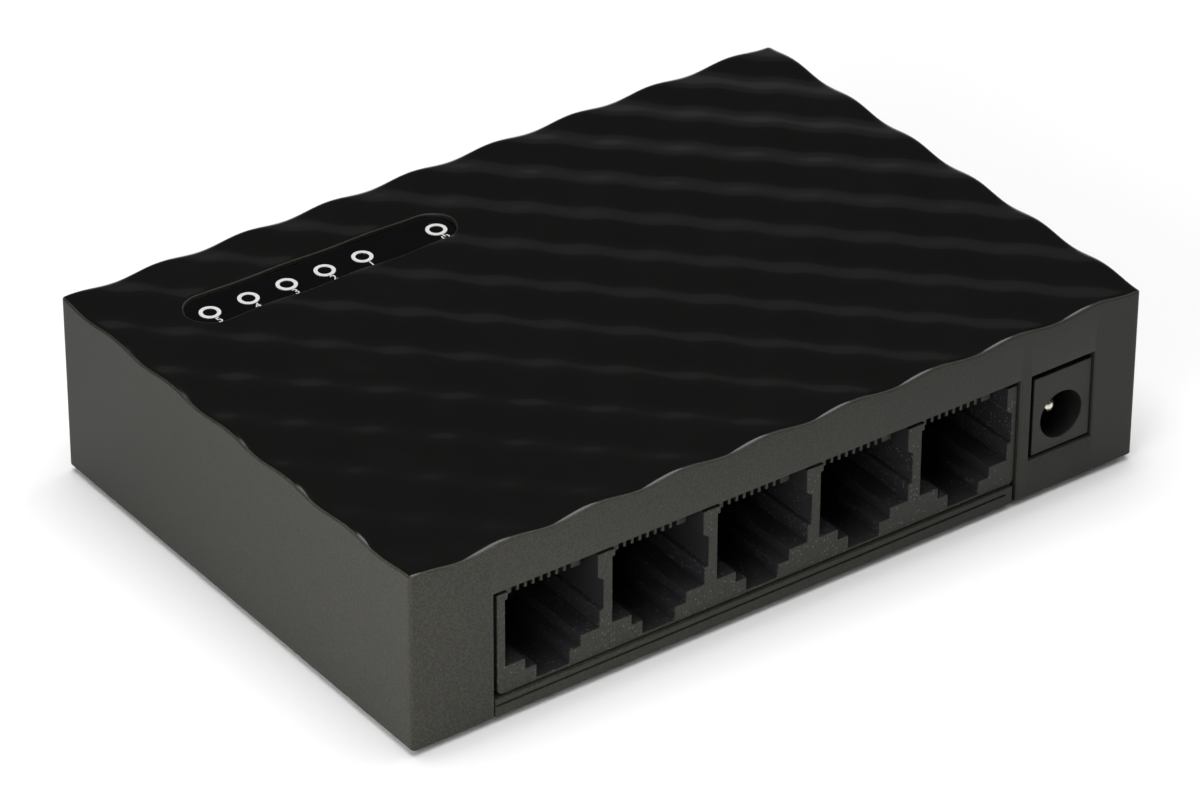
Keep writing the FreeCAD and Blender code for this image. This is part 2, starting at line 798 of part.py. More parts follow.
def make_carrier(port):
    """The plastic carrier of one socket's eight wires: grooved from below, with a comb at its front."""
    middle = port_x(port)
    body = new_body(f"carrier_{port + 1}")
    face = sketch_on(body, f"carrier_{port + 1}_face", "XZ", "dims.carrier_front")
    rectangle(face, f"{middle} - dims.carrier_half_width", "dims.carrier_bottom",
              f"{middle} + dims.carrier_half_width", "dims.carrier_top")
    pad(body, face, "dims.carrier_back - dims.carrier_front", backwards=True)
    comb = sketch_on(body, f"carrier_{port + 1}_comb", "XZ", "dims.carrier_front")
    rectangle(comb, f"{middle} - dims.carrier_half_width", "dims.comb_bottom",
              f"{middle} + dims.comb_right_reach", "dims.carrier_bottom")
    pad(body, comb, "dims.comb_depth", backwards=True)
    first = contact_x(port, 0)
    gap = sketch_on(body, f"carrier_{port + 1}_gap", "XZ", "dims.carrier_front")
    rectangle(gap, f"{first} - dims.comb_groove / 2", "dims.comb_bottom",
              f"{first} + dims.comb_groove / 2", "dims.carrier_groove_top")
    gap_cut = pocket(body, gap, "dims.comb_depth")
    groove = sketch_on(body, f"carrier_{port + 1}_groove", "XZ", "dims.carrier_front")
    rectangle(groove, f"{first} - dims.carrier_groove / 2", "dims.carrier_bottom",
              f"{first} + dims.carrier_groove / 2", "dims.carrier_groove_top")
    groove_cut = pocket(body, groove, "dims.carrier_back - dims.carrier_front")
    repeat(body, groove, [gap_cut, groove_cut], "H_Axis", "dims.contact_pitch", "dims.contact_count")
    return sub_part(body, f"port_{port + 1}_carrier")


def make_leads(port):
    """The fixed end of each wire: back along its groove, then up through the board."""
    leads = []
    top = "(dims.nose_z + dims.nose_radius + dims.contact_thick / 2)"
    for contact in range(int(cell("contact_count"))):
        left = f"{contact_x(port, contact)} - dims.contact_width / 2"
        reach = f"({tail_y(contact)} + dims.contact_thick / 2)"
        run = block("lead_run", (left, "dims.nose_y", f"{top} - dims.contact_thick"),
                    ("dims.contact_width", f"{reach} - dims.nose_y", "dims.contact_thick"))
        tail = block("lead_tail", (left, f"{reach} - dims.contact_thick", f"{top} - dims.contact_thick"),
                     ("dims.contact_width", "dims.contact_thick",
                      f"dims.tail_top - {top} + dims.contact_thick"))
        leads.append(fuse("lead", [run, tail]))
    return sub_part(group(f"leads_{port + 1}", leads), f"port_{port + 1}_leads")


def spring_profile(sketch):
    """Side view of a sprung wire: a round nose, then a straight slope down into the socket."""
    slope = math.radians(cell("contact_slope"))
    half = cell("contact_thick") / 2
    centre = Vector(cell("nose_y"), cell("nose_z"), 0)
    upright = Vector(0, 0, 1)
    start, end = math.pi / 2, 3 * math.pi / 2 - slope
    leaving = Vector(math.cos(end), math.sin(end), 0)
    along = Vector(math.cos(slope), -math.sin(slope), 0) * cell("contact_length")
    outer, inner = cell("nose_radius") + half, cell("nose_radius") - half
    corners = [centre + leaving * outer, centre + leaving * outer + along,
               centre + leaving * inner + along, centre + leaving * inner]
    crown = [centre + Vector(0, radius, 0) for radius in (inner, outer)]
    sketch.addGeometry(Part.ArcOfCircle(Part.Circle(centre, upright, outer), start, end), False)
    for first, second in zip(corners, corners[1:]):
        sketch.addGeometry(Part.LineSegment(first, second), False)
    sketch.addGeometry(Part.ArcOfCircle(Part.Circle(centre, upright, inner), start, end), False)
    sketch.addGeometry(Part.LineSegment(*crown), False)
    shared_ends = [(0, 2, 1, 1), (1, 2, 2, 1), (2, 2, 3, 1), (3, 2, 4, 2), (4, 1, 5, 1), (5, 2, 0, 1),
                   (0, 3, 4, 3)]
    for first, first_end, second, second_end in shared_ends:
        sketch.addConstraint(Sketcher.Constraint("Coincident", first, first_end, second, second_end))
    pin_point(sketch, 0, 3, ("dims.nose_y", "dims.nose_z"))
    pin_point(sketch, 0, 1, ("dims.nose_y", "dims.nose_z + dims.nose_radius + dims.contact_thick / 2"))
    pin_point(sketch, 4, 1, ("dims.nose_y", "dims.nose_z + dims.nose_radius - dims.contact_thick / 2"))
    sketch.addConstraint(Sketcher.Constraint("Perpendicular", 1, 2))
    sketch.addConstraint(Sketcher.Constraint("Parallel", 1, 3))
    reach = sketch.addConstraint(Sketcher.Constraint("Distance", 1, cell("contact_length")))
    sketch.setExpression(f"Constraints[{reach}]", "dims.contact_length")
    tilt = sketch.addConstraint(Sketcher.Constraint("Angle", 1, -slope))
    sketch.setExpression(f"Constraints[{tilt}]", "-dims.contact_slope * 1 deg")


def make_contacts(port):
    """The sprung end of each wire, which a plug presses up."""
    body = new_body(f"contacts_{port + 1}")
    side = sketch_on(body, f"contact_{port + 1}_side", "YZ", contact_x(port, 0))
    spring_profile(side)
    wire = pad(body, side, "dims.contact_width", midplane=True)
    repeat(body, side, [wire], "N_Axis", "dims.contact_pitch", "dims.contact_count")
    return sub_part(body, f"port_{port + 1}_contacts")


# ---- Power inlet --------------------------------------------------------------------------------


def make_power_jack():
    body = new_body("power_body")
    right = "dims.power_left + dims.power_width"
    flange = sketch_on(body, "power_flange", "XZ", "dims.power_front")
    rectangle(flange, "dims.power_left", "dims.power_bottom", right, "dims.power_lip_top")
    pad(body, flange, "dims.power_flange", backwards=True)
    rear = sketch_on(body, "power_rear", "XZ", "dims.power_front + dims.power_flange")
    rectangle(rear, "dims.power_left", "dims.power_rear_bottom", right, "dims.board_bottom")
    pad(body, rear, "dims.power_back - dims.power_front - dims.power_flange", backwards=True)
    hole = sketch_on(body, "power_hole", "XZ", "dims.power_front")
    circle(hole, (POWER_X, "dims.power_hole_z"), "dims.power_hole_radius")
    pocket(body, hole, "dims.power_hole_depth")
    pin_hole = sketch_on(body, "power_pin_hole", "XZ", "dims.power_front")
    circle(pin_hole, (POWER_X, "dims.power_hole_z"), "dims.pin_shank_radius")
    pocket(body, pin_hole, "dims.power_back - dims.power_front")
    half = "(dims.leaf_width / 2 + dims.leaf_clearance)"
    leaf_slot = sketch_on(body, "leaf_slot", "XZ", "dims.power_front + dims.power_flange")
    rectangle(leaf_slot, f"{POWER_X} - {half}", "dims.leaf_slot_bottom", f"{POWER_X} + {half}",
              "dims.board_bottom")
    pocket(body, leaf_slot, "dims.power_back - dims.power_front - dims.power_flange")
    return sub_part(body, "power_jack_body")


def make_power_pin():
    """The centre pin: a rounded tip, a thicker shank in the plastic, and a tail riveted to its terminal."""
    tip_y = "(dims.pin_tip + dims.pin_radius)"
    floor_y = "(dims.power_front + dims.power_hole_depth)"
    rivet_y = "(dims.power_back + dims.terminal_thick)"
    tip = doc.addObject("Part::Sphere", "pin_tip")
    bind(tip, {
        "Radius": "dims.pin_radius",
        "Placement.Base.x": POWER_X,
        "Placement.Base.y": tip_y,
        "Placement.Base.z": "dims.power_hole_z",
    })
    pieces = [tip]
    for name, start, end, radius in (
        ("pin_free_end", tip_y, floor_y, "dims.pin_radius"),
        ("pin_shank", floor_y, "dims.power_back", "dims.pin_shank_radius"),
        ("pin_tail", "dims.power_back", rivet_y, "dims.pin_radius"),
        ("pin_rivet", rivet_y, f"({rivet_y} + dims.terminal_thick)", "dims.pin_rivet_radius"),
    ):
        pieces.append(rod(name, (POWER_X, start, "dims.power_hole_z"), radius, f"{end} - {start}",
                          axis="y"))
    return sub_part(fuse("pin", pieces), "power_jack_pin")


def make_power_leaf():
    """The sprung strip over the barrel that touches the plug's sleeve."""
    body = new_body("leaf_body")
    side = sketch_on(body, "leaf_side", "YZ", POWER_X)
    top = "+ dims.leaf_thick"
    outline(side, [
        ("dims.leaf_root_y", "dims.leaf_root_z"),
        ("dims.leaf_root_y", f"dims.leaf_root_z {top}"),
        ("dims.leaf_bump_y", f"dims.leaf_bump_z {top}"),
        ("dims.leaf_front_y", f"dims.leaf_front_z {top}"),
        ("dims.leaf_front_y", "dims.leaf_front_z"),
        ("dims.leaf_bump_y", "dims.leaf_bump_z"),
    ])
    pad(body, side, "dims.leaf_width", midplane=True)
    return sub_part(body, "power_jack_spring")


def make_power_terminals():
    """The blades that carry the pin and the sprung strip up through the board."""
    width = ("dims.terminal_width", "dims.terminal_thick")
    pin_blade = centred_block("pin_blade", (POWER_X, PIN_TERMINAL_Y, "dims.terminal_bottom"),
                              (*width, "dims.terminal_top - dims.terminal_bottom"))
    rivet_hole = rod("rivet_hole", (POWER_X, "dims.power_back", "dims.power_hole_z"), "dims.pin_radius",
                     "dims.terminal_thick", axis="y")
    sleeve_blade = centred_block("sleeve_blade", (POWER_X, SLEEVE_TERMINAL_Y, "dims.leaf_root_z"),
                                 (*width, "dims.terminal_top - dims.leaf_root_z"))
    blades = [cut("pin_blade_drilled", pin_blade, rivet_hole), sleeve_blade]
    return sub_part(group("terminals", blades), "power_jack_terminals")


# ---- Indicators ---------------------------------------------------------------------------------


def make_indicator_label():
    """A dark film with round ends, glued into its recess."""
    floor = "dims.label_recess_floor"
    left = "(dims.label_left + dims.clearance)"
    right = "(dims.label_right - dims.clearance)"
    front = "(dims.label_front + dims.clearance)"
    back = "(dims.label_back - dims.clearance)"
    radius = f"(({back} - {front}) / 2)"
    middle = f"({front} + {back}) / 2"
    pieces = [
        block("film_middle", (f"{left} + {radius}", front, floor),
              (f"{right} - {left} - 2 * {radius}", f"2 * {radius}", "dims.label_thick")),
        rod("film_left", (f"{left} + {radius}", middle, floor), radius, "dims.label_thick"),
        rod("film_right", (f"{right} - {radius}", middle, floor), radius, "dims.label_thick"),
    ]
    return sub_part(fuse("film", pieces), "indicator_label")


def make_indicator_rings():
    """A ring printed on the film round each lamp's window."""
    rings = []
    for x in LAMPS:
        place = (x, "dims.ring_y", "(dims.label_recess_floor + dims.label_thick)")
        disc = rod("ring_disc", place, "dims.ring_radius", "dims.ring_thick")
        window = rod("ring_window", place, "dims.ring_hole", "dims.ring_thick")
        rings.append(cut("ring", disc, window))
    return sub_part(group("rings", rings), "indicator_rings")


def make_indicator_lamps():
    lamps = [centred_block("lamp", (x, "dims.ring_y", BOARD_TOP),
                           ("dims.lamp_length", "dims.lamp_width", "dims.lamp_height")) for x in LAMPS]
    return sub_part(group("lamps", lamps), "indicator_lamps")


# ---- Parts under the board ----------------------------------------------------------------------


def hung_block(name, x, y, length, width, height):
    """A box whose top face is on the underside of the board."""
    return centred_block(name, (x, y, f"dims.board_bottom - {height}"), (length, width, height))


def gull_leads(name, centre, body_size, lead):
    """Bent leads along the two long sides of a chip that hangs under the board."""
    x, y = centre
    width, depth = body_size
    count, lead_pitch, lead_width, turned_over = lead
    leads = []
    shoulder = "(dims.chip_lead_reach / 2)"
    drop = "dims.chip_lead_drop"
    for index in range(count):
        offset = f"({index} - ({count} - 1) / 2) * {lead_pitch}"
        for side in (-1, 1):
            edge = f"({side} * ({width if turned_over else depth}) / 2)"
            upper = f"({side} * {shoulder})"
            if turned_over:
                arm = (f"{x} + {edge} + {upper} / 2", f"{y} + {offset}")
                foot = (f"{x} + {edge} + {upper} * 1.5", f"{y} + {offset}")
                size = (shoulder, lead_width)
            else:
                arm = (f"{x} + {offset}", f"{y} + {edge} + {upper} / 2")
                foot = (f"{x} + {offset}", f"{y} + {edge} + {upper} * 1.5")
                size = (lead_width, shoulder)
            leads.append(fuse(f"{name}_lead", [
                centred_block(f"{name}_arm", (*arm, f"dims.board_bottom - {drop}"),
                              (*size, "dims.chip_lead_thick")),
                centred_block(f"{name}_foot", (*foot, f"dims.board_bottom - {drop}"), (*size, drop)),
            ]))
    return leads


def make_switch_chip():
    """The square switch chip and its leads, sixteen on each side."""
    chip = centred_block("chip", ("dims.chip_x", "dims.chip_y",
                                  "dims.board_bottom - dims.chip_standoff - dims.chip_thick"),
                         ("dims.chip_size", "dims.chip_size", "dims.chip_thick"))
    lower_face = number("dims.board_bottom - dims.chip_standoff - dims.chip_thick")
    sub_part(bevelled("chip_bevelled", chip, lambda edge: is_at(edge, lower_face), "chip_bevel"),
             "switch_chip")
    size = ("dims.chip_size", "dims.chip_size")
    leads = []
    for turned_over in (False, True):
        leads += gull_leads("chip", ("dims.chip_x", "dims.chip_y"), size,
                            (int(cell("chip_lead_count")), "dims.chip_lead_pitch",
                             "dims.chip_lead_width", turned_over))
    sub_part(group("chip_leads", leads), "switch_chip_leads")


def make_transformers():
    """One isolating transformer module behind each socket."""
    modules = [hung_block("module", port_x(port), "(dims.module_front + dims.module_depth / 2)",
                          "dims.module_width", "dims.module_depth", "dims.module_height")
               for port in range(int(cell("port_count")))]
    return sub_part(group("modules", modules), "transformer_modules")


def make_crystal():
    """A metal can with round ends."""
    radius = "(dims.crystal_width / 2)"
    straight = f"(dims.crystal_length - 2 * {radius})"
    bottom = "dims.board_bottom - dims.crystal_height"
    pieces = [hung_block("can_middle", "dims.crystal_x", "dims.crystal_y", straight,
                         "dims.crystal_width", "dims.crystal_height")]
    for side in (-1, 1):
        pieces.append(rod("can_end", (f"dims.crystal_x + {side} * {straight} / 2", "dims.crystal_y",
                                      bottom), radius, "dims.crystal_height"))
    return sub_part(fuse("can", pieces), "crystal")


def make_small_chips():
    """Two small chips, each one solid with its leads."""
    for name, label in (("memory", "memory_chip"), ("regulator", "regulator_chip")):
        place = (f"dims.{name}_x", f"dims.{name}_y")
        size = (f"dims.{name}_length", f"dims.{name}_width")
        leads = (int(cell(f"{name}_lead_count")), f"dims.{name}_lead_pitch", "dims.small_lead_width", False)
        pieces = [hung_block(name, *place, *size, f"dims.{name}_height")]
        pieces += gull_leads(name, place, size, leads)
        sub_part(fuse(f"{name}_fused", pieces), label)


def make_power_parts():
    """The inductor and the input diode beside the power inlet."""
    coil = hung_block("coil_block", "dims.inductor_x", "dims.inductor_y", "dims.inductor_size",
                      "dims.inductor_size", "dims.inductor_height")
    sub_part(bevelled("coil_block_cornered", coil, is_upright, "inductor_bevel"), "power_inductor")
    diode = hung_block("diode", "dims.diode_x", "dims.diode_y", "dims.diode_length",
                       "dims.diode_width", "dims.diode_height")
    sub_part(group("diodes", [diode]), "input_diode")


def make_capacitors():
    """Two upright cans with the groove that crimps their rubber seal."""
    cans = []
    for count in (0, 1):
        body = new_body(f"capacitor_{count + 1}")
        side = sketch_on(body, f"capacitor_{count + 1}_side", "XZ")
        outer = "dims.capacitor_radius"
        top = "dims.board_bottom"
        bottom = f"({top} - dims.capacitor_height)"
        crimp = f"({top} - dims.capacitor_crimp_z)"
        outline(side, [
            ("0", bottom),
            (f"{outer} - dims.capacitor_bevel", bottom),
            (outer, f"{bottom} + dims.capacitor_bevel"),
            (outer, f"{crimp} - dims.capacitor_crimp_half"),
            (f"{outer} - dims.capacitor_crimp_depth", crimp),
            (outer, f"{crimp} + dims.capacitor_crimp_half"),
            (outer, top),
            ("0", top),
        ])
        turned(body, side)
        bind(body, {
            "Placement.Base.x": "dims.capacitor_x",
            "Placement.Base.y": f"dims.capacitor_y + {count} * dims.capacitor_pitch",
        })
        cans.append(body)
    return sub_part(group("capacitors", cans), "electrolytic_capacitors")


def make_chip_passives():
    """Small resistors and capacitors in rows round the switch chip."""
    pieces = []
    size = ("dims.passive_width", "dims.passive_length", "dims.passive_height")
    for y in ("dims.passive_row_1", "dims.passive_row_2", "dims.passive_row_3"):
        for count in range(int(cell("passive_count"))):
            x = f"(dims.passive_left + {count} * dims.passive_pitch)"
            pieces.append(hung_block("passive", x, y, *size))
    return sub_part(group("passives", pieces), "chip_passives")


def main():
    make_top_cover()
    make_base_plate()
    make_rubber_feet()
    make_screws()
    make_circuit_board()
    make_jack_housing()
    for port in range(int(cell("port_count"))):
        make_carrier(port)
        make_leads(port)
        make_contacts(port)
    make_power_jack()
    make_power_pin()
    make_power_leaf()
    make_power_terminals()
    make_indicator_label()
    make_indicator_rings()
    make_indicator_lamps()
    make_switch_chip()
    make_transformers()
    make_crystal()
    make_small_chips()
    make_power_parts()
    make_capacitors()
    make_chip_passives()
    doc.recompute()
    check_and_export()


def check_and_export():
    """Stop on any failed object, then write each sub-part to its own file."""
    failed = [item.Name for item in doc.Objects if {"Invalid", "Error"} & set(item.State)]
    if failed:
        raise RuntimeError(f"objects that failed: {failed}")
    for item in SUB_PARTS:
        if item.Shape.isNull() or not item.Shape.isValid() or not item.Shape.Solids:
            raise RuntimeError(f"{item.Label} has no valid solid")
    os.makedirs("parts", exist_ok=True)
    for item in SUB_PARTS:
        item.Shape.exportStep(os.path.join("parts", f"{item.Label}.step"))


main()
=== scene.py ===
"""Finished surfaces for a five-port desktop network switch, and a plain white studio round it.

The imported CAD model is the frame. The waved cover is rebuilt here as a fine mesh with rounded edges,
the other parts that show are copied from their CAD nodes with small bevels along their edges, and
every part gets a procedural material. Lengths are in millimetres until a mesh is made.
"""
import json
import math

import bmesh
import bpy
from mathutils import Matrix, Vector
from mathutils.geometry import delaunay_2d_cdt

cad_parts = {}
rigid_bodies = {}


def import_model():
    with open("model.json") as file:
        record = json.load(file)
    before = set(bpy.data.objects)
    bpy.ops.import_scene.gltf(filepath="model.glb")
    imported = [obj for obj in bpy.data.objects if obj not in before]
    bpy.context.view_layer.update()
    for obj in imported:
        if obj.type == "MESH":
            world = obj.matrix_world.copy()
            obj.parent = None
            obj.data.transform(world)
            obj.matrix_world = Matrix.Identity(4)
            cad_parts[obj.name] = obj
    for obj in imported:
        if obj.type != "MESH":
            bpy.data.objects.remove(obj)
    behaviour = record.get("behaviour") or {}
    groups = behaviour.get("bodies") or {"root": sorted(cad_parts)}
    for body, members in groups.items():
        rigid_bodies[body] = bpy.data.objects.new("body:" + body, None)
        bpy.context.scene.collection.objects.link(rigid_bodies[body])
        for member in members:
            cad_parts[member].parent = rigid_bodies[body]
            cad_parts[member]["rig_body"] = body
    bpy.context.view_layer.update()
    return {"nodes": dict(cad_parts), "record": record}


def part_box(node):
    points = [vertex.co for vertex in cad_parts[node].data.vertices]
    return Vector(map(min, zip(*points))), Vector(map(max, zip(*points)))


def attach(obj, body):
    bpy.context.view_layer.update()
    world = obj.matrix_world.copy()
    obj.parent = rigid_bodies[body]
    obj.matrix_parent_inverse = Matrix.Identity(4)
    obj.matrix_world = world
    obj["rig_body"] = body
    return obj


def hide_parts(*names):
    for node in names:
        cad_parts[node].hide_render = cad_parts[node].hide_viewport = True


MM = 0.001

# Case
CORNER_RADIUS = 0.5
RIM_WIDTH = 0.8
RIM_DROP = 0.28
WALL = 2.0
TOP_THICK = 1.8
BASE_THICK = 1.8

# Waved top: its middle height, and the wave's size, spacing and start from the case's corner
WAVE_MIDDLE = 22.7
WAVE_HEIGHT = 0.28
WAVE_PITCH = 11.38
WAVE_LEAD = (-1.29, -0.55)

# Fineness of the cover's mesh; the lowest rim bands are matte like the walls
GRID_STEP = 0.5
CORNER_STEPS = 8
RIM_STEPS = 12
MATTE_RIM_STEPS = 6
LIP_STEPS = 5
POST_SIDES = 48

# A rounded edge's middle is this share of its radius in from both faces
ROUND_MIDDLE = 0.293
# Narrow band beside a rounded edge, which keeps the smooth shading to the edge
HEM = 0.05

# Cut-outs of the cover: left, right, bottom and top from the case's corner
SOCKET_SLOT = (10.5, 81.6, -1.0, 15.85)
INLET_WINDOW = (83.25, 92.25, 4.72, 15.85)
EDGE_ROUND = 0.15

# Recess for the indicator label: left, right, front and back from the case's corner
LABEL_RECESS = (9.3, 44.8, 53.85, 59.75)
RECESS_FLOOR = 21.9
LIP_RADIUS = 0.15
LAMP_X = (12.0, 17.08, 22.16, 27.24, 32.32, 42.4)
LAMP_Y = 56.45

# Posts inside the cover, which hang from its ceiling: radius and lower end, with the bore's radius and
# its two ends. Heights are from the case's bottom.
BOSSES = ((6.2, 7.5), (92.4, 20.5), (6.2, 61.7), (92.4, 61.7))
BOSS_POST = (3.0, BASE_THICK)
BOSS_BORE = (1.2, BASE_THICK - 0.2, 13.8)
STANDOFFS = ((8.0, 34.0), (90.0, 42.0), (52.0, 61.5))
STANDOFF_POST = (2.5, 17.3)
STANDOFF_BORE = (0.9, 17.1, 20.45)
LAMP_WELL = (2.1, 18.5)
LAMP_WELL_BORE = (1.5, 18.3)
LAMP_HOLE_RADIUS = 0.9
# How far a post runs into the ceiling, so that the two join cleanly
POST_ROOT = 0.45

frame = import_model()
nodes = frame["nodes"]
cover_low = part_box("top_cover")[0]
LEFT = cover_low.x / MM
FRONT = cover_low.y / MM
BOTTOM = cover_low.z / MM
HALF_X = -LEFT
HALF_Y = -FRONT


# ---- Meshes -------------------------------------------------------------------------------------


def new_object(name, mesh):
    obj = bpy.data.objects.new(name, mesh)
    bpy.context.scene.collection.objects.link(obj)
    return obj


def mesh_from(name, points, faces):
    """A mesh from points in millimetres."""
    mesh = bpy.data.meshes.new(name)
    mesh.from_pydata([(x * MM, y * MM, z * MM) for x, y, z in points], [], faces)
    mesh.update()
    return mesh


def evaluated(obj):
    """Replace an object's mesh by what its modifiers make of it."""
    graph = bpy.context.evaluated_depsgraph_get()
    mesh = bpy.data.meshes.new_from_object(obj.evaluated_get(graph))
    obj.modifiers.clear()
    obj.data = mesh
    return obj


def combine(target, tool, operation):
    """Exact boolean of two closed meshes; the tool is used up."""
    modifier = target.modifiers.new(operation.lower(), "BOOLEAN")
    modifier.operation = operation
    modifier.solver = "EXACT"
    modifier.object = tool
    evaluated(target)
    bpy.data.objects.remove(tool)
    return target


def bridge(first, second):
    """Quads between two rings of point numbers of the same length."""
    count = len(first)
    return [(first[i], first[(i + 1) % count], second[(i + 1) % count], second[i]) for i in range(count)]


def box_object(name, low, high):
    x0, y0, z0 = low
    x1, y1, z1 = high
    points = [(x, y, z) for z in (z0, z1) for x, y in ((x0, y0), (x1, y0), (x1, y1), (x0, y1))]
    faces = [(3, 2, 1, 0), (4, 5, 6, 7), *bridge((0, 1, 2, 3), (4, 5, 6, 7))]
    return new_object(name, mesh_from(name, points, faces))


def post_object(name, centre, radius, bottom, top):
    points = []
    for z in (bottom, top):
        for index in range(POST_SIDES):
            turn = 2 * math.pi * index / POST_SIDES
            points.append((centre[0] + radius * math.cos(turn), centre[1] + radius * math.sin(turn), z))
    lower = list(range(POST_SIDES))
    upper = list(range(POST_SIDES, 2 * POST_SIDES))
    faces = [tuple(reversed(lower)), tuple(upper), *bridge(lower, upper)]
    return new_object(name, mesh_from(name, points, faces))


def corner_point(x, y):
    """A place given from the case's corner, in the row frame."""
    return LEFT + x, FRONT + y


# ---- The waved cover ----------------------------------------------------------------------------


def wave(x, y):
    """Height of the waved top over a point."""
    turn = 2 * math.pi / WAVE_PITCH
    along = math.cos(turn * (x - LEFT + WAVE_LEAD[0]))
    across = math.cos(turn * (y - FRONT + WAVE_LEAD[1]))
    return WAVE_MIDDLE + WAVE_HEIGHT * along * across


def plan_ring(inset):
    """Points round the case's outline, anticlockwise, moved in by a distance."""
    radius = max(CORNER_RADIUS - inset, 0.02)
    x = HALF_X - inset - radius
    y = HALF_Y - inset - radius
    spans = (2 * (HALF_Y - CORNER_RADIUS), 2 * (HALF_X - CORNER_RADIUS))
    corners = ((x, -y, -90), (x, y, 0), (-x, y, 90), (-x, -y, 180))
    points = []
    for index, (corner_x, corner_y, start) in enumerate(corners):
        for step in range(CORNER_STEPS + 1):
            turn = math.radians(start + 90 * step / CORNER_STEPS)
            points.append((corner_x + radius * math.cos(turn), corner_y + radius * math.sin(turn)))
        next_x, next_y, next_start = corners[(index + 1) % 4]
        turn = math.radians(next_start)
        end = (next_x + radius * math.cos(turn), next_y + radius * math.sin(turn))
        begin = points[-1]
        count = round(spans[index % 2] / GRID_STEP)
        for step in range(1, count):
            share = step / count
            points.append((begin[0] + (end[0] - begin[0]) * share, begin[1] + (end[1] - begin[1]) * share))
    return points


def recess_ring(offset):
    """Points round the label recess, anticlockwise, moved out by a distance."""
    left, right, front, back = LABEL_RECESS
    radius = (back - front) / 2
    middle = FRONT + (front + back) / 2
    first = LEFT + left + radius
    last = LEFT + right - radius
    reach = radius + offset
    half_turn = 36
    points = []
    for centre, start in ((last, -90), (first, 90)):
        for step in range(half_turn + 1):
            turn = math.radians(start + 180 * step / half_turn)
            points.append((centre + reach * math.cos(turn), middle + reach * math.sin(turn)))
        begin = points[-1]
        end_x = first if start == -90 else last
        count = round((last - first) / GRID_STEP)
        for step in range(1, count):
            points.append((begin[0] + (end_x - begin[0]) * step / count, begin[1]))
    return points


def outline_distance(x, y):
    """How far a point is inside the case's outline."""
    past_x = max(abs(x) - (HALF_X - CORNER_RADIUS), 0)
    past_y = max(abs(y) - (HALF_Y - CORNER_RADIUS), 0)
    if past_x and past_y:
        return CORNER_RADIUS - math.hypot(past_x, past_y)
    return min(HALF_X - abs(x), HALF_Y - abs(y))


def recess_distance(x, y):
    """How far a point is outside the label recess."""
    left, right, front, back = LABEL_RECESS
    radius = (back - front) / 2
    middle = FRONT + (front + back) / 2
    nearest = min(max(x, LEFT + left + radius), LEFT + right - radius)
    return math.hypot(x - nearest, y - middle) - radius


def fill_top(outer, inner):
    """Triangles of the top between its rim ring and the recess's lip ring, and the grid points used."""
    points = list(outer) + list(inner)
    edges = [(i, (i + 1) % len(outer)) for i in range(len(outer))]
    edges += [(len(outer) + i, len(outer) + (i + 1) % len(inner)) for i in range(len(inner))]
    clearance = 0.6 * GRID_STEP
    x_count = round(2 * HALF_X / GRID_STEP)
    y_count = round(2 * HALF_Y / GRID_STEP)
    for x_index in range(1, x_count):
        x = LEFT + 2 * HALF_X * x_index / x_count
        for y_index in range(1, y_count):
            y = FRONT + 2 * HALF_Y * y_index / y_count
            clear_of_rim = outline_distance(x, y) > RIM_WIDTH + clearance
            if clear_of_rim and recess_distance(x, y) > LIP_RADIUS + clearance:
                points.append((x, y))
    result = delaunay_2d_cdt([Vector(point) for point in points], edges, [], 0, 1e-6)
    source = [origins[0] for origins in result[3]]
    triangles = []
    for face in result[2]:
        middle_x = sum(result[0][i].x for i in face) / len(face)
        middle_y = sum(result[0][i].y for i in face) / len(face)
        if recess_distance(middle_x, middle_y) > LIP_RADIUS * 0.9:
            triangles.append(tuple(source[i] for i in face))
    return points, triangles


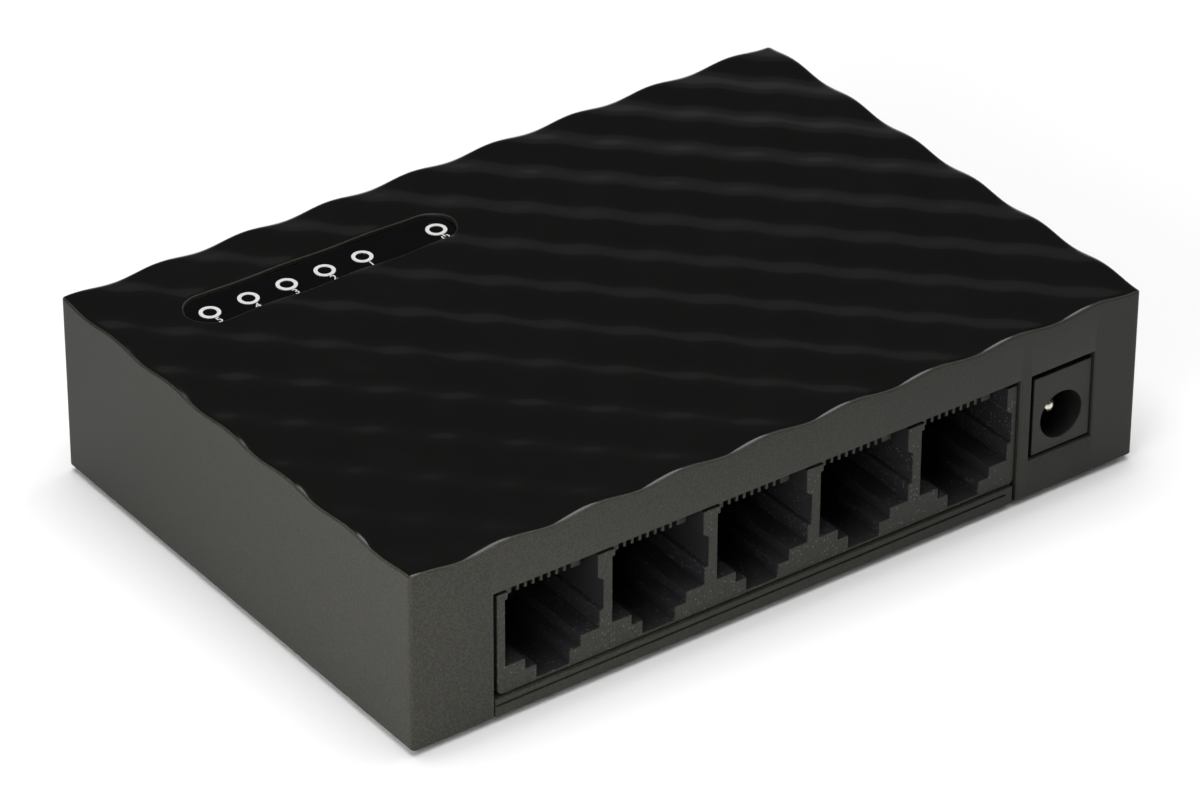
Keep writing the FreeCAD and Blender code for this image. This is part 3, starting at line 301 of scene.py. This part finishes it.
def cover_outside():
    """The cover as a closed solid: waved top, rounded rim, walls, and the label's recess."""
    points = []
    faces = []

    def add_ring(plan, height_of):
        first = len(points)
        points.extend((x, y, height_of(x, y)) for x, y in plan)
        return list(range(first, len(points)))

    edge = EDGE_ROUND
    edge_middle = ROUND_MIDDLE * edge
    bottom = [
        add_ring(plan_ring(edge), lambda x, y: BOTTOM),
        add_ring(plan_ring(edge_middle), lambda x, y: BOTTOM + edge_middle),
        add_ring(plan_ring(0), lambda x, y: BOTTOM + edge),
        add_ring(plan_ring(0), lambda x, y: BOTTOM + edge + HEM),
        add_ring(plan_ring(0), lambda x, y: wave(x, y) - RIM_DROP - HEM),
        add_ring(plan_ring(0), lambda x, y: wave(x, y) - RIM_DROP),
    ]
    faces.append(tuple(reversed(bottom[0])))
    for lower, upper in zip(bottom, bottom[1:]):
        faces += bridge(lower, upper)
    rim = [bottom[-1]]
    for step in range(1, RIM_STEPS):
        turn = math.pi / 2 * step / RIM_STEPS
        drop = RIM_DROP * (1 - math.sin(turn))
        rim.append(add_ring(plan_ring(RIM_WIDTH * (1 - math.cos(turn))),
                            lambda x, y, drop=drop: wave(x, y) - drop))

    outer_plan = plan_ring(RIM_WIDTH)
    inner_plan = recess_ring(LIP_RADIUS)
    plan, triangles = fill_top(outer_plan, inner_plan)
    first = len(points)
    points.extend((x, y, wave(x, y)) for x, y in plan)
    rim.append(list(range(first, first + len(outer_plan))))
    bands = [bridge(lower, upper) for lower, upper in zip(rim, rim[1:])]
    faces += sum(bands[:MATTE_RIM_STEPS], [])
    gloss_from = len(faces)
    faces += sum(bands[MATTE_RIM_STEPS:], [])
    faces += [tuple(first + i for i in triangle) for triangle in triangles]
    gloss_to = len(faces)

    lip_first = first + len(outer_plan)
    lip = [list(range(lip_first, lip_first + len(inner_plan)))]
    for step in range(1, LIP_STEPS + 1):
        turn = math.pi / 2 * step / LIP_STEPS
        drop = LIP_RADIUS * (1 - math.cos(turn))
        lip.append(add_ring(recess_ring(LIP_RADIUS * (1 - math.sin(turn))),
                            lambda x, y, drop=drop: wave(x, y) - drop))
    lip.append(add_ring(recess_ring(0), lambda x, y: RECESS_FLOOR + HEM))
    lip.append(add_ring(recess_ring(-HEM), lambda x, y: RECESS_FLOOR))
    for upper, lower in zip(lip, lip[1:]):
        faces += bridge(upper, lower)
    faces.append(tuple(lip[-1]))

    mesh = mesh_from("cover", points, faces)
    for polygon in mesh.polygons[gloss_from:gloss_to]:
        polygon.material_index = 1
    return new_object("cover", mesh)


def flared_window(name, window):
    """A tool for a window in the wall, opening out at the wall's face to round its edge."""
    left, right, bottom, top = window
    past_wall = 0.5
    middle = ROUND_MIDDLE * EDGE_ROUND
    depths = ((-past_wall, EDGE_ROUND), (0, EDGE_ROUND), (middle, middle),
              (EDGE_ROUND, 0), (WALL + past_wall, 0))
    points = []
    rings = []
    for depth, flare in depths:
        y = FRONT + depth
        first = len(points)
        for x, z in ((left - flare, bottom - flare), (right + flare, bottom - flare),
                     (right + flare, top + flare), (left - flare, top + flare)):
            points.append((LEFT + x, y, BOTTOM + z))
        rings.append([first, first + 1, first + 2, first + 3])
    faces = [tuple(rings[0]), tuple(reversed(rings[-1]))]
    for near, far in zip(rings, rings[1:]):
        faces += bridge(far, near)
    return new_object(name, mesh_from(name, points, faces))


def cover_inside():
    """Everything that the cover is hollowed by, as one closed tool."""
    ceiling = WAVE_MIDDLE - TOP_THICK
    low = (LEFT + WALL, FRONT + WALL, BOTTOM - 1)
    tool = box_object("cavity", low, (-low[0], -low[1], ceiling))

    def add_posts(name, centres, size, top, operation):
        radius, bottom = size
        for centre in centres:
            post = post_object(name, corner_point(*centre), radius, BOTTOM + bottom, top)
            combine(tool, post, operation)

    lamps = [(x, LAMP_Y) for x in LAMP_X]
    add_posts("boss", BOSSES, BOSS_POST, ceiling + POST_ROOT, "DIFFERENCE")
    add_posts("standoff", STANDOFFS, STANDOFF_POST, ceiling + POST_ROOT, "DIFFERENCE")
    add_posts("well", lamps, LAMP_WELL, ceiling + POST_ROOT, "DIFFERENCE")
    add_posts("bore", BOSSES, BOSS_BORE[:2], BOTTOM + BOSS_BORE[2], "UNION")
    add_posts("bore", STANDOFFS, STANDOFF_BORE[:2], BOTTOM + STANDOFF_BORE[2], "UNION")
    lamp_hole = (LAMP_HOLE_RADIUS, ceiling - 0.2 - BOTTOM)
    for lamp in lamps:
        add_posts("well_bore", [lamp], LAMP_WELL_BORE, ceiling, "UNION")
        add_posts("lamp_hole", [lamp], lamp_hole, RECESS_FLOOR + 0.5, "UNION")
    combine(tool, flared_window("slot", SOCKET_SLOT), "UNION")
    combine(tool, flared_window("window", INLET_WINDOW), "UNION")
    return tool


def smooth(mesh, angle):
    """Smooth shading, with the edges sharper than an angle kept."""
    mesh.shade_smooth()
    mesh.set_sharp_from_angle(angle=math.radians(angle))


def finish_piece(obj, replaced, body):
    """Let a piece stand for the CAD node that it was made from."""
    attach(obj, body)
    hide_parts(replaced)


def make_cover(matte, gloss):
    cover = cover_outside()
    for material in (matte, gloss):
        cover.data.materials.append(material)
    combine(cover, cover_inside(), "DIFFERENCE")
    smooth(cover.data, 35)
    finish_piece(cover, "top_cover", "case")


# ---- Parts copied from the CAD with bevelled edges ----------------------------------------------


def welded_copy(node, name):
    """A CAD node's mesh in a new object, welded, with its flat faces whole again."""
    mesh = nodes[node].data.copy()
    mesh.name = name
    for layer in ("custom_normal", "sharp_edge", "sharp_face"):
        if layer in mesh.attributes:
            mesh.attributes.remove(mesh.attributes[layer])
    form = bmesh.new()
    form.from_mesh(mesh)
    bmesh.ops.remove_doubles(form, verts=form.verts, dist=0.001 * MM)
    bmesh.ops.dissolve_limit(form, angle_limit=math.radians(0.5), verts=form.verts, edges=form.edges)
    form.to_mesh(mesh)
    form.free()
    return new_object(name, mesh)


def bevelled_piece(node, name, width, material):
    """A CAD node with a small round along each of its edges."""
    obj = welded_copy(node, name)
    bevel = obj.modifiers.new("bevel", "BEVEL")
    bevel.width = width * MM
    bevel.segments = 2
    bevel.limit_method = "ANGLE"
    bevel.angle_limit = math.radians(30)
    bevel.use_clamp_overlap = False
    obj.data.shade_smooth()
    normals = obj.modifiers.new("normals", "WEIGHTED_NORMAL")
    normals.weight = 100
    evaluated(obj)
    obj.data.materials.clear()
    obj.data.materials.append(material)
    finish_piece(obj, node, nodes[node]["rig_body"])


# ---- Materials ----------------------------------------------------------------------------------


class Finish:
    """A procedural material round one Principled shader, in the piece's own coordinates."""

    def __init__(self, name, colour, roughness, **sockets):
        self.material = bpy.data.materials.new(name)
        self.material.use_nodes = True
        self.tree = self.material.node_tree
        self.shader = self.tree.nodes["Principled BSDF"]
        self.shader.inputs["Base Color"].default_value = (*colour, 1)
        self.shader.inputs["Roughness"].default_value = roughness
        for socket, value in sockets.items():
            self.shader.inputs[socket.replace("_", " ")].default_value = value
        self.colour = None
        self.base = colour
        self.coordinates = self.node("ShaderNodeTexCoord").outputs["Object"]

    def node(self, kind, **settings):
        made = self.tree.nodes.new(kind)
        for name, value in settings.items():
            setattr(made, name, value)
        return made

    def link(self, start, end):
        self.tree.links.new(start, end)

    def noise(self, scale, detail=2.0, stretch=(1, 1, 1), turn=(0, 0, 0)):
        """Noise with a number of features to the metre, from 0 to 1."""
        mapping = self.node("ShaderNodeMapping")
        mapping.inputs["Scale"].default_value = stretch
        mapping.inputs["Rotation"].default_value = [math.radians(a) for a in turn]
        self.link(self.coordinates, mapping.inputs["Vector"])
        texture = self.node("ShaderNodeTexNoise")
        texture.inputs["Scale"].default_value = scale
        texture.inputs["Detail"].default_value = detail
        texture.inputs["Roughness"].default_value = 0.5
        self.link(mapping.outputs["Vector"], texture.inputs["Vector"])
        return texture.outputs["Fac"]

    def specks(self, scale, size, share):
        """A factor of 1 in sparse round specks, and 0 elsewhere.

        The scale is in cells to the metre, the size in cells, and a share of the cells has a speck.
        """
        texture = self.node("ShaderNodeTexVoronoi")
        texture.inputs["Scale"].default_value = scale
        self.link(self.coordinates, texture.inputs["Vector"])
        near = self.remap(texture.outputs["Distance"], size, size * 0.6, 0, 1)
        cell = self.channel(texture.outputs["Color"])
        chosen = self.remap(cell, 1 - share, 1 - share + 0.001, 0, 1)
        return self.math("MULTIPLY", near, chosen)

    def painted_shade_inside(self, start, end, colour):
        """Painted shade behind the socket side's face: another colour mixed in from one depth to another
        in millimetres, which darkens the openings where less light reaches.
        """
        split = self.node("ShaderNodeSeparateXYZ")
        self.link(self.coordinates, split.inputs["Vector"])
        depth = self.remap(split.outputs["Y"], (FRONT + start) * MM, (FRONT + end) * MM, 0, 1)
        self.tint(depth, colour)

    def darker_far(self, colour):
        """Another colour towards the ends of the case that are far from its front left corner.

        This stands in for light that falls off along the walls, which the white floor evens out. It is
        painted on, so leave it out where the part is lit in another way.
        """
        split = self.node("ShaderNodeSeparateXYZ")
        self.link(self.coordinates, split.inputs["Vector"])
        at_right, at_back, at_most = 0.75, 0.6, 0.8
        along = self.remap(split.outputs["X"], -HALF_X * MM, HALF_X * MM, 0, at_right)
        across = self.remap(split.outputs["Y"], -HALF_Y * MM, HALF_Y * MM, 0, at_back)
        share = self.math("MINIMUM", self.math("ADD", along, across), at_most)
        self.tint(share, colour)

    def channel(self, colour):
        split = self.node("ShaderNodeSeparateColor")
        self.link(colour, split.inputs["Color"])
        return split.outputs["Red"]

    def math(self, operation, first, second):
        made = self.node("ShaderNodeMath", operation=operation)
        for socket, value in zip(made.inputs, (first, second)):
            if isinstance(value, (int, float)):
                socket.default_value = value
            else:
                self.link(value, socket)
        return made.outputs["Value"]

    def remap(self, value, from_low, from_high, to_low, to_high):
        made = self.node("ShaderNodeMapRange")
        for socket, number in (("From Min", from_low), ("From Max", from_high),
                               ("To Min", to_low), ("To Max", to_high)):
            made.inputs[socket].default_value = number
        self.link(value, made.inputs["Value"])
        return made.outputs["Result"]

    def tint(self, factor, colour):
        """Mix another colour into the base colour by a factor."""
        mix = self.node("ShaderNodeMix", data_type="RGBA")
        if self.colour is None:
            mix.inputs[6].default_value = (*self.base, 1)
        else:
            self.link(self.colour, mix.inputs[6])
        mix.inputs[7].default_value = (*colour, 1)
        self.link(factor, mix.inputs["Factor"])
        self.colour = mix.outputs[2]
        self.link(self.colour, self.shader.inputs["Base Color"])

    def rough(self, value):
        self.link(value, self.shader.inputs["Roughness"])

    def bump(self, height, depth):
        """Surface relief from a height of 0 to 1 and a depth in millimetres."""
        made = self.node("ShaderNodeBump")
        made.inputs["Distance"].default_value = depth * MM
        made.inputs["Strength"].default_value = 1
        self.link(height, made.inputs["Height"])
        previous = self.shader.inputs["Normal"]
        if previous.is_linked:
            self.link(previous.links[0].from_socket, made.inputs["Normal"])
        self.link(made.outputs["Normal"], previous)


def scaled(colour, factor):
    return tuple(part * factor for part in colour)


def moulded(name, colour, roughness, grain=4200, depth=0.02, gloss=0.5, steep=1.0, grit=1.9):
    """Moulded plastic with an even fine grain and slight cloudiness.

    The grain is in features to the metre, its depth in millimetres. A steeper grain has sharper
    borders, and grit is how much lighter its light places are.
    """
    spread = 0.06
    finish = Finish(name, colour, roughness, Specular_IOR_Level=gloss)
    fine = finish.noise(grain, 2.0)
    cloud = finish.noise(90, 3.0)
    finish.tint(finish.remap(cloud, 0.3, 0.7, 0, 0.4), scaled(colour, 1.25))
    half = 0.17 / steep
    finish.tint(finish.remap(fine, 0.52 - half, 0.52 + half, 0, 0.8), scaled(colour, grit))
    finish.rough(finish.remap(fine, 0.3, 0.7, roughness - spread, roughness + spread))
    finish.bump(fine, depth)
    return finish


def add_hairlines(finish, colour):
    """Faint hairlines over a moulded surface, in two directions."""
    strength = 0.35
    for turn in ((8, 12, 20), (-14, -9, -35)):
        line = finish.noise(60, 1.0, stretch=(1, 1, 90), turn=turn)
        away = finish.math("ABSOLUTE", finish.math("SUBTRACT", line, 0.5), 0)
        crest = finish.remap(away, 0.004, 0.0, 0, 1)
        patch = finish.remap(finish.noise(55, 1.0), 0.56, 0.66, 0, strength)
        finish.tint(finish.math("MULTIPLY", crest, patch), colour)


def metal(name, colour, roughness, stretch=(1, 1, 1)):
    """Plated metal with uneven polish."""
    finish = Finish(name, colour, roughness, Metallic=1.0)
    mark = finish.noise(900, 3.0, stretch=stretch)
    finish.tint(finish.remap(mark, 0.45, 0.75, 0, 0.5), scaled(colour, 0.72))
    finish.rough(finish.remap(mark, 0.3, 0.7, roughness * 0.75, roughness * 1.35))
    finish.bump(mark, 0.004)
    return finish


def case_plastics():
    """The charcoal plastic of the cover, base, sockets and inlet: matte outside, with painted shade
    towards the far ends and in the openings.
    """
    charcoal = (0.0195, 0.0191, 0.0140)
    # Painted shade: the walls darken towards the far ends, in place of light that falls off along them
    falloff_shade_charcoal = scaled(charcoal, 0.3)
    # Colours of the painted shade deep inside the sockets, the inlet and the carriers
    shade = (0.019, 0.019, 0.021)
    deep_shade = scaled(shade, 0.45)
    wall = {"grain": 5200, "depth": 0.03, "gloss": 0.28, "steep": 2.6, "grit": 2.6}

    cover = moulded("matte_charcoal", charcoal, 0.5, **wall)
    add_hairlines(cover, (0.16, 0.15, 0.13))
    base = moulded("matte_charcoal_base", charcoal, 0.5, **wall)
    cover.darker_far(falloff_shade_charcoal)
    base.darker_far(falloff_shade_charcoal)

    jack = moulded("satin_charcoal", charcoal, 0.45, **wall)
    jack.darker_far(falloff_shade_charcoal)
    jack.painted_shade_inside(0.42, 0.62, shade)
    jack.tint(jack.specks(2500, 0.32, 0.25), (0.09, 0.09, 0.095))
    inlet = moulded("satin_charcoal_inlet", charcoal, 0.45, **wall)
    inlet.darker_far(falloff_shade_charcoal)
    inlet.painted_shade_inside(0.4, 0.6, deep_shade)
    carrier = moulded("carrier_charcoal", charcoal, 0.45, **wall)
    carrier.painted_shade_inside(2.6, 2.8, deep_shade)
    return {"cover": cover, "base": base, "jack": jack, "inlet": inlet, "carrier": carrier}


def gloss_black():
    """The polished top, with faint haze, dust and a slight unevenness."""
    gloss = Finish("gloss_black", (0.0043, 0.0043, 0.0041), 0.1)
    haze = gloss.noise(120, 4.0)
    gloss.rough(gloss.remap(haze, 0.35, 0.7, 0.07, 0.15))
    gloss.tint(gloss.specks(180, 0.02, 0.05), (0.55, 0.55, 0.52))
    gloss.bump(gloss.noise(700, 2.0), 0.0015)
    return gloss


def label_film():
    film = Finish("label_film", (0.0018, 0.0018, 0.0023), 0.12, Specular_IOR_Level=0.4)
    film.rough(film.remap(film.noise(200, 3.0), 0.35, 0.7, 0.09, 0.16))
    film.tint(film.specks(260, 0.02, 0.04), (0.4, 0.4, 0.4))
    film.bump(film.noise(500, 2.0), 0.001)
    return film


def white_print():
    ink = Finish("white_print", (0.60, 0.60, 0.59), 0.45)
    wear = ink.noise(5000, 2.0)
    ink.tint(ink.remap(wear, 0.55, 0.75, 0, 0.4), (0.45, 0.45, 0.45))
    ink.bump(wear, 0.003)
    return ink


def lamp_resin():
    lamp = Finish("lamp_resin", (0.75, 0.78, 0.66), 0.2, Transmission_Weight=0.5)
    lamp.rough(lamp.remap(lamp.noise(1500, 2.0), 0.3, 0.7, 0.12, 0.3))
    return lamp


def solder_mask():
    """The board's green lacquer over its woven glass."""
    board = Finish("solder_mask", (0.012, 0.095, 0.045), 0.32)
    weave = board.noise(1400, 1.0, stretch=(1, 8, 1))
    board.tint(board.remap(weave, 0.4, 0.7, 0, 0.35), (0.02, 0.15, 0.07))
    board.bump(weave, 0.006)
    return board


def make_materials():
    """One material for each slot of the record, and one for the gloss of the cover's top."""
    made = case_plastics()
    made["gloss"] = gloss_black()
    made["film"] = label_film()
    made["print"] = white_print()
    made["lamp"] = lamp_resin()
    made["board"] = solder_mask()

    made["screw"] = metal("zinc_plate", (0.55, 0.55, 0.56), 0.32)
    made["contact"] = metal("gold_flash", (0.80, 0.62, 0.34), 0.3)
    made["pin"] = metal("nickel_pin", (0.80, 0.75, 0.62), 0.22)
    made["leaf"] = metal("nickel_spring", (0.68, 0.66, 0.60), 0.28, stretch=(1, 6, 1))
    made["tinned"] = metal("tin_plate", (0.72, 0.72, 0.73), 0.35)
    made["can"] = metal("crystal_can", (0.70, 0.70, 0.68), 0.25, stretch=(4, 1, 1))

    made["rubber"] = moulded("black_rubber", (0.018, 0.018, 0.018), 0.75, grain=2500)
    made["chip"] = moulded("chip_compound", (0.020, 0.020, 0.022), 0.5, depth=0.006)
    made["module"] = moulded("module_case", (0.022, 0.022, 0.022), 0.3, depth=0.004)
    made["ferrite"] = moulded("ferrite", (0.060, 0.060, 0.062), 0.6, grain=3500)
    made["capacitor"] = moulded("capacitor_sleeve", (0.015, 0.022, 0.070), 0.28, depth=0.003)
    made["passive"] = moulded("ceramic", (0.36, 0.27, 0.18), 0.45, depth=0.006)
    return {name: finish.material for name, finish in made.items()}


SLOT_OF = {part["node"]: part["material_slot"] for part in frame["record"]["subparts"]}
materials = make_materials()
for node_name, node in nodes.items():
    node.data.materials.clear()
    node.data.materials.append(materials[SLOT_OF[node_name]])

make_cover(materials["cover"], materials["gloss"])
BEVELS = {
    "base_plate": 0.1,
    "rubber_feet": 0.1,
    "base_screws": 0.08,
    "jack_housing": 0.09,
    "power_jack_body": 0.1,
    "power_jack_pin": 0.05,
    "power_jack_spring": 0.05,
    "indicator_label": 0.06,
}
for port in range(1, 6):
    BEVELS[f"port_{port}_carrier"] = 0.05
    BEVELS[f"port_{port}_contacts"] = 0.05
    BEVELS[f"port_{port}_leads"] = 0.04
for node_name, width in BEVELS.items():
    bevelled_piece(node_name, f"{node_name}_finished", width, materials[SLOT_OF[node_name]])


# ---- Printing on the label ----------------------------------------------------------------------


PRINT_THICK = 0.03 * MM
DIGIT_SIZE = 1.5
DIGIT_SHIFT = (0.05, -2.35)
POWER_SIGN_SHIFT = -1.87


def label_print():
    """Digits beside the five port rings, and a plain power sign beside the sixth."""
    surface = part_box("indicator_label")[1].z
    parts = []
    for x, text in zip(LAMP_X, "54321"):
        curve = bpy.data.curves.new(f"digit_{text}", "FONT")
        curve.body = text
        curve.size = DIGIT_SIZE * MM
        curve.extrude = PRINT_THICK / 2
        curve.align_x = "CENTER"
        curve.resolution_u = 6
        letter = new_object(f"digit_{text}", curve)
        graph = bpy.context.evaluated_depsgraph_get()
        mesh = bpy.data.meshes.new_from_object(letter.evaluated_get(graph))
        bpy.data.objects.remove(letter)
        place = Vector((*corner_point(x + DIGIT_SHIFT[0], LAMP_Y + DIGIT_SHIFT[1]), 0)) * MM
        place.z = surface + PRINT_THICK / 2
        mesh.transform(Matrix.Translation(place))
        parts.append(mesh)
    form = bmesh.new()
    for mesh in parts:
        form.from_mesh(mesh)
    centre = Vector((*corner_point(LAMP_X[-1], LAMP_Y + POWER_SIGN_SHIFT), 0)) * MM
    add_power_sign(form, centre, surface)
    mesh = bpy.data.meshes.new("label_print")
    form.to_mesh(mesh)
    form.free()
    obj = new_object("label_print", mesh)
    mesh.materials.append(materials["print"])
    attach(obj, "case")


def add_power_sign(form, centre, bottom):
    """A broken circle with a bar through its gap."""
    outer, inner = 0.5 * MM, 0.34 * MM
    half_gap = 38
    arc = []
    steps = 28
    for step in range(steps + 1):
        turn = math.radians(90 + half_gap + (360 - 2 * half_gap) * step / steps)
        arc.append((math.cos(turn), math.sin(turn)))
    outline = [(x * outer, y * outer) for x, y in arc]
    outline += [(x * inner, y * inner) for x, y in reversed(arc)]
    bar_half, bar_low, bar_high = 0.08 * MM, 0.05 * MM, 0.58 * MM
    bar = [(-bar_half, bar_low), (bar_half, bar_low), (bar_half, bar_high), (-bar_half, bar_high)]
    for shape in (outline, bar):
        base = [form.verts.new((centre.x + x, centre.y + y, bottom)) for x, y in shape]
        lid = [form.verts.new((vert.co.x, vert.co.y, bottom + PRINT_THICK)) for vert in base]
        form.faces.new(list(reversed(base)))
        form.faces.new(lid)
        for i in range(len(shape)):
            j = (i + 1) % len(shape)
            form.faces.new((base[i], base[j], lid[j], lid[i]))
    bmesh.ops.recalc_face_normals(form, faces=form.faces)


label_print()


# ---- Studio -------------------------------------------------------------------------------------


def make_studio():
    """A round white floor that curves up into a low wall; lengths are in metres."""
    flat = 2.4
    curve = 0.5
    curve_steps = 8
    profile = [(0.0, 0.0), (0.4, 0.0), (1.2, 0.0), (flat, 0.0)]
    for step in range(1, curve_steps + 1):
        turn = math.radians(90 * step / curve_steps)
        profile.append((flat + curve * math.sin(turn), curve * (1 - math.cos(turn))))
    sides = 96
    points = [(0.0, 0.0, 0.0)]
    for radius, height in profile[1:]:
        for index in range(sides):
            turn = 2 * math.pi * index / sides
            points.append((radius * math.cos(turn), radius * math.sin(turn), height))
    faces = [(0, 1 + i, 1 + (i + 1) % sides) for i in range(sides)]
    for ring in range(len(profile) - 2):
        lower = [1 + ring * sides + i for i in range(sides)]
        upper = [index + sides for index in lower]
        faces += [tuple(reversed(face)) for face in bridge(lower, upper)]
    mesh = bpy.data.meshes.new("studio_floor")
    mesh.from_pydata(points, [], faces)
    mesh.shade_smooth()
    floor = new_object("studio_floor", mesh)
    paper = Finish("white_paper", (0.86, 0.86, 0.86), 0.8)
    paper.shader.inputs["Specular IOR Level"].default_value = 0.1
    mesh.materials.append(paper.material)


def soft_light(name, place, size, power, target=(0, 0, 0.01), shape="RECTANGLE"):
    """A panel of light that faces its target: place and size in metres, power in watts."""
    data = bpy.data.lights.new(name, "AREA")
    data.shape = shape
    data.size, data.size_y = size
    data.energy = power
    light = new_object(name, data)
    light.location = place
    direction = Vector(target) - Vector(place)
    light.rotation_mode = "QUATERNION"
    light.rotation_quaternion = direction.to_track_quat("-Z", "Y")
    light.visible_camera = False
    return light


CAMERA_PLACE = (-0.33935, -0.46385, 0.3770)
CAMERA_HEADING = 36.170
CAMERA_DOWN = 32.661
CAMERA_ROLL = 0.267
CAMERA_LENS = 182.58


def make_camera():
    """A camera before the front left corner, turned right of +Y and down by angles in degrees."""
    data = bpy.data.cameras.new("camera")
    data.sensor_width = 36
    data.lens = CAMERA_LENS
    data.clip_end = 20
    camera = new_object("camera", data)
    heading = Matrix.Rotation(math.radians(-CAMERA_HEADING), 3, "Z")
    down = Matrix.Rotation(math.radians(90 - CAMERA_DOWN), 3, "X")
    roll = Matrix.Rotation(math.radians(CAMERA_ROLL), 3, "Z")
    turn = heading @ down @ roll
    camera.matrix_world = Matrix.Translation(CAMERA_PLACE) @ turn.to_4x4()
    bpy.context.scene.camera = camera


make_studio()
soft_light("overhead", (0.0, 0.1, 2.2), (2.5, 2.5), 54, shape="ELLIPSE")
soft_light("near_key", (-0.204, -0.126, 0.12), (0.16, 0.12), 0.29)
soft_light("left_fill", (-1.9, -0.5, 0.9), (1.2, 0.9), 1.5)
soft_light("right_fill", (1.9, -0.1, 0.9), (1.2, 0.9), 8)
soft_light("back_fill", (-1.8, 1.0, 0.9), (1.0, 0.8), 1.5)
soft_light("rim_panel", (0.72, 0.0, 1.3), (0.9, 0.9), 1.2)
soft_light("spark", (-0.045, 0.095, 1.5), (0.12, 0.12), 2)

# Three low panels behind the far corner, one in front of another, brightest near the floor. The waves
# mirror them as bands.
GLOW_PLACE = (0.125, 0.125)
GLOW_WIDTH = 0.25
GLOW_BOTTOM = 0.02
for glow_top, radiance in ((0.07, 0.11), (0.085, 0.05), (0.1, 0.05)):
    middle = (glow_top + GLOW_BOTTOM) / 2
    height = glow_top - GLOW_BOTTOM
    power = radiance * math.pi * GLOW_WIDTH * height
    soft_light("glow", (*GLOW_PLACE, middle), (GLOW_WIDTH, height), power, (0, 0, middle))
make_camera()

world = bpy.data.worlds.new("studio")
world.use_nodes = True
world.node_tree.nodes["Background"].inputs["Color"].default_value = (0.04, 0.04, 0.04, 1)
bpy.context.scene.world = world
bpy.context.scene.view_settings.view_transform = "Standard"
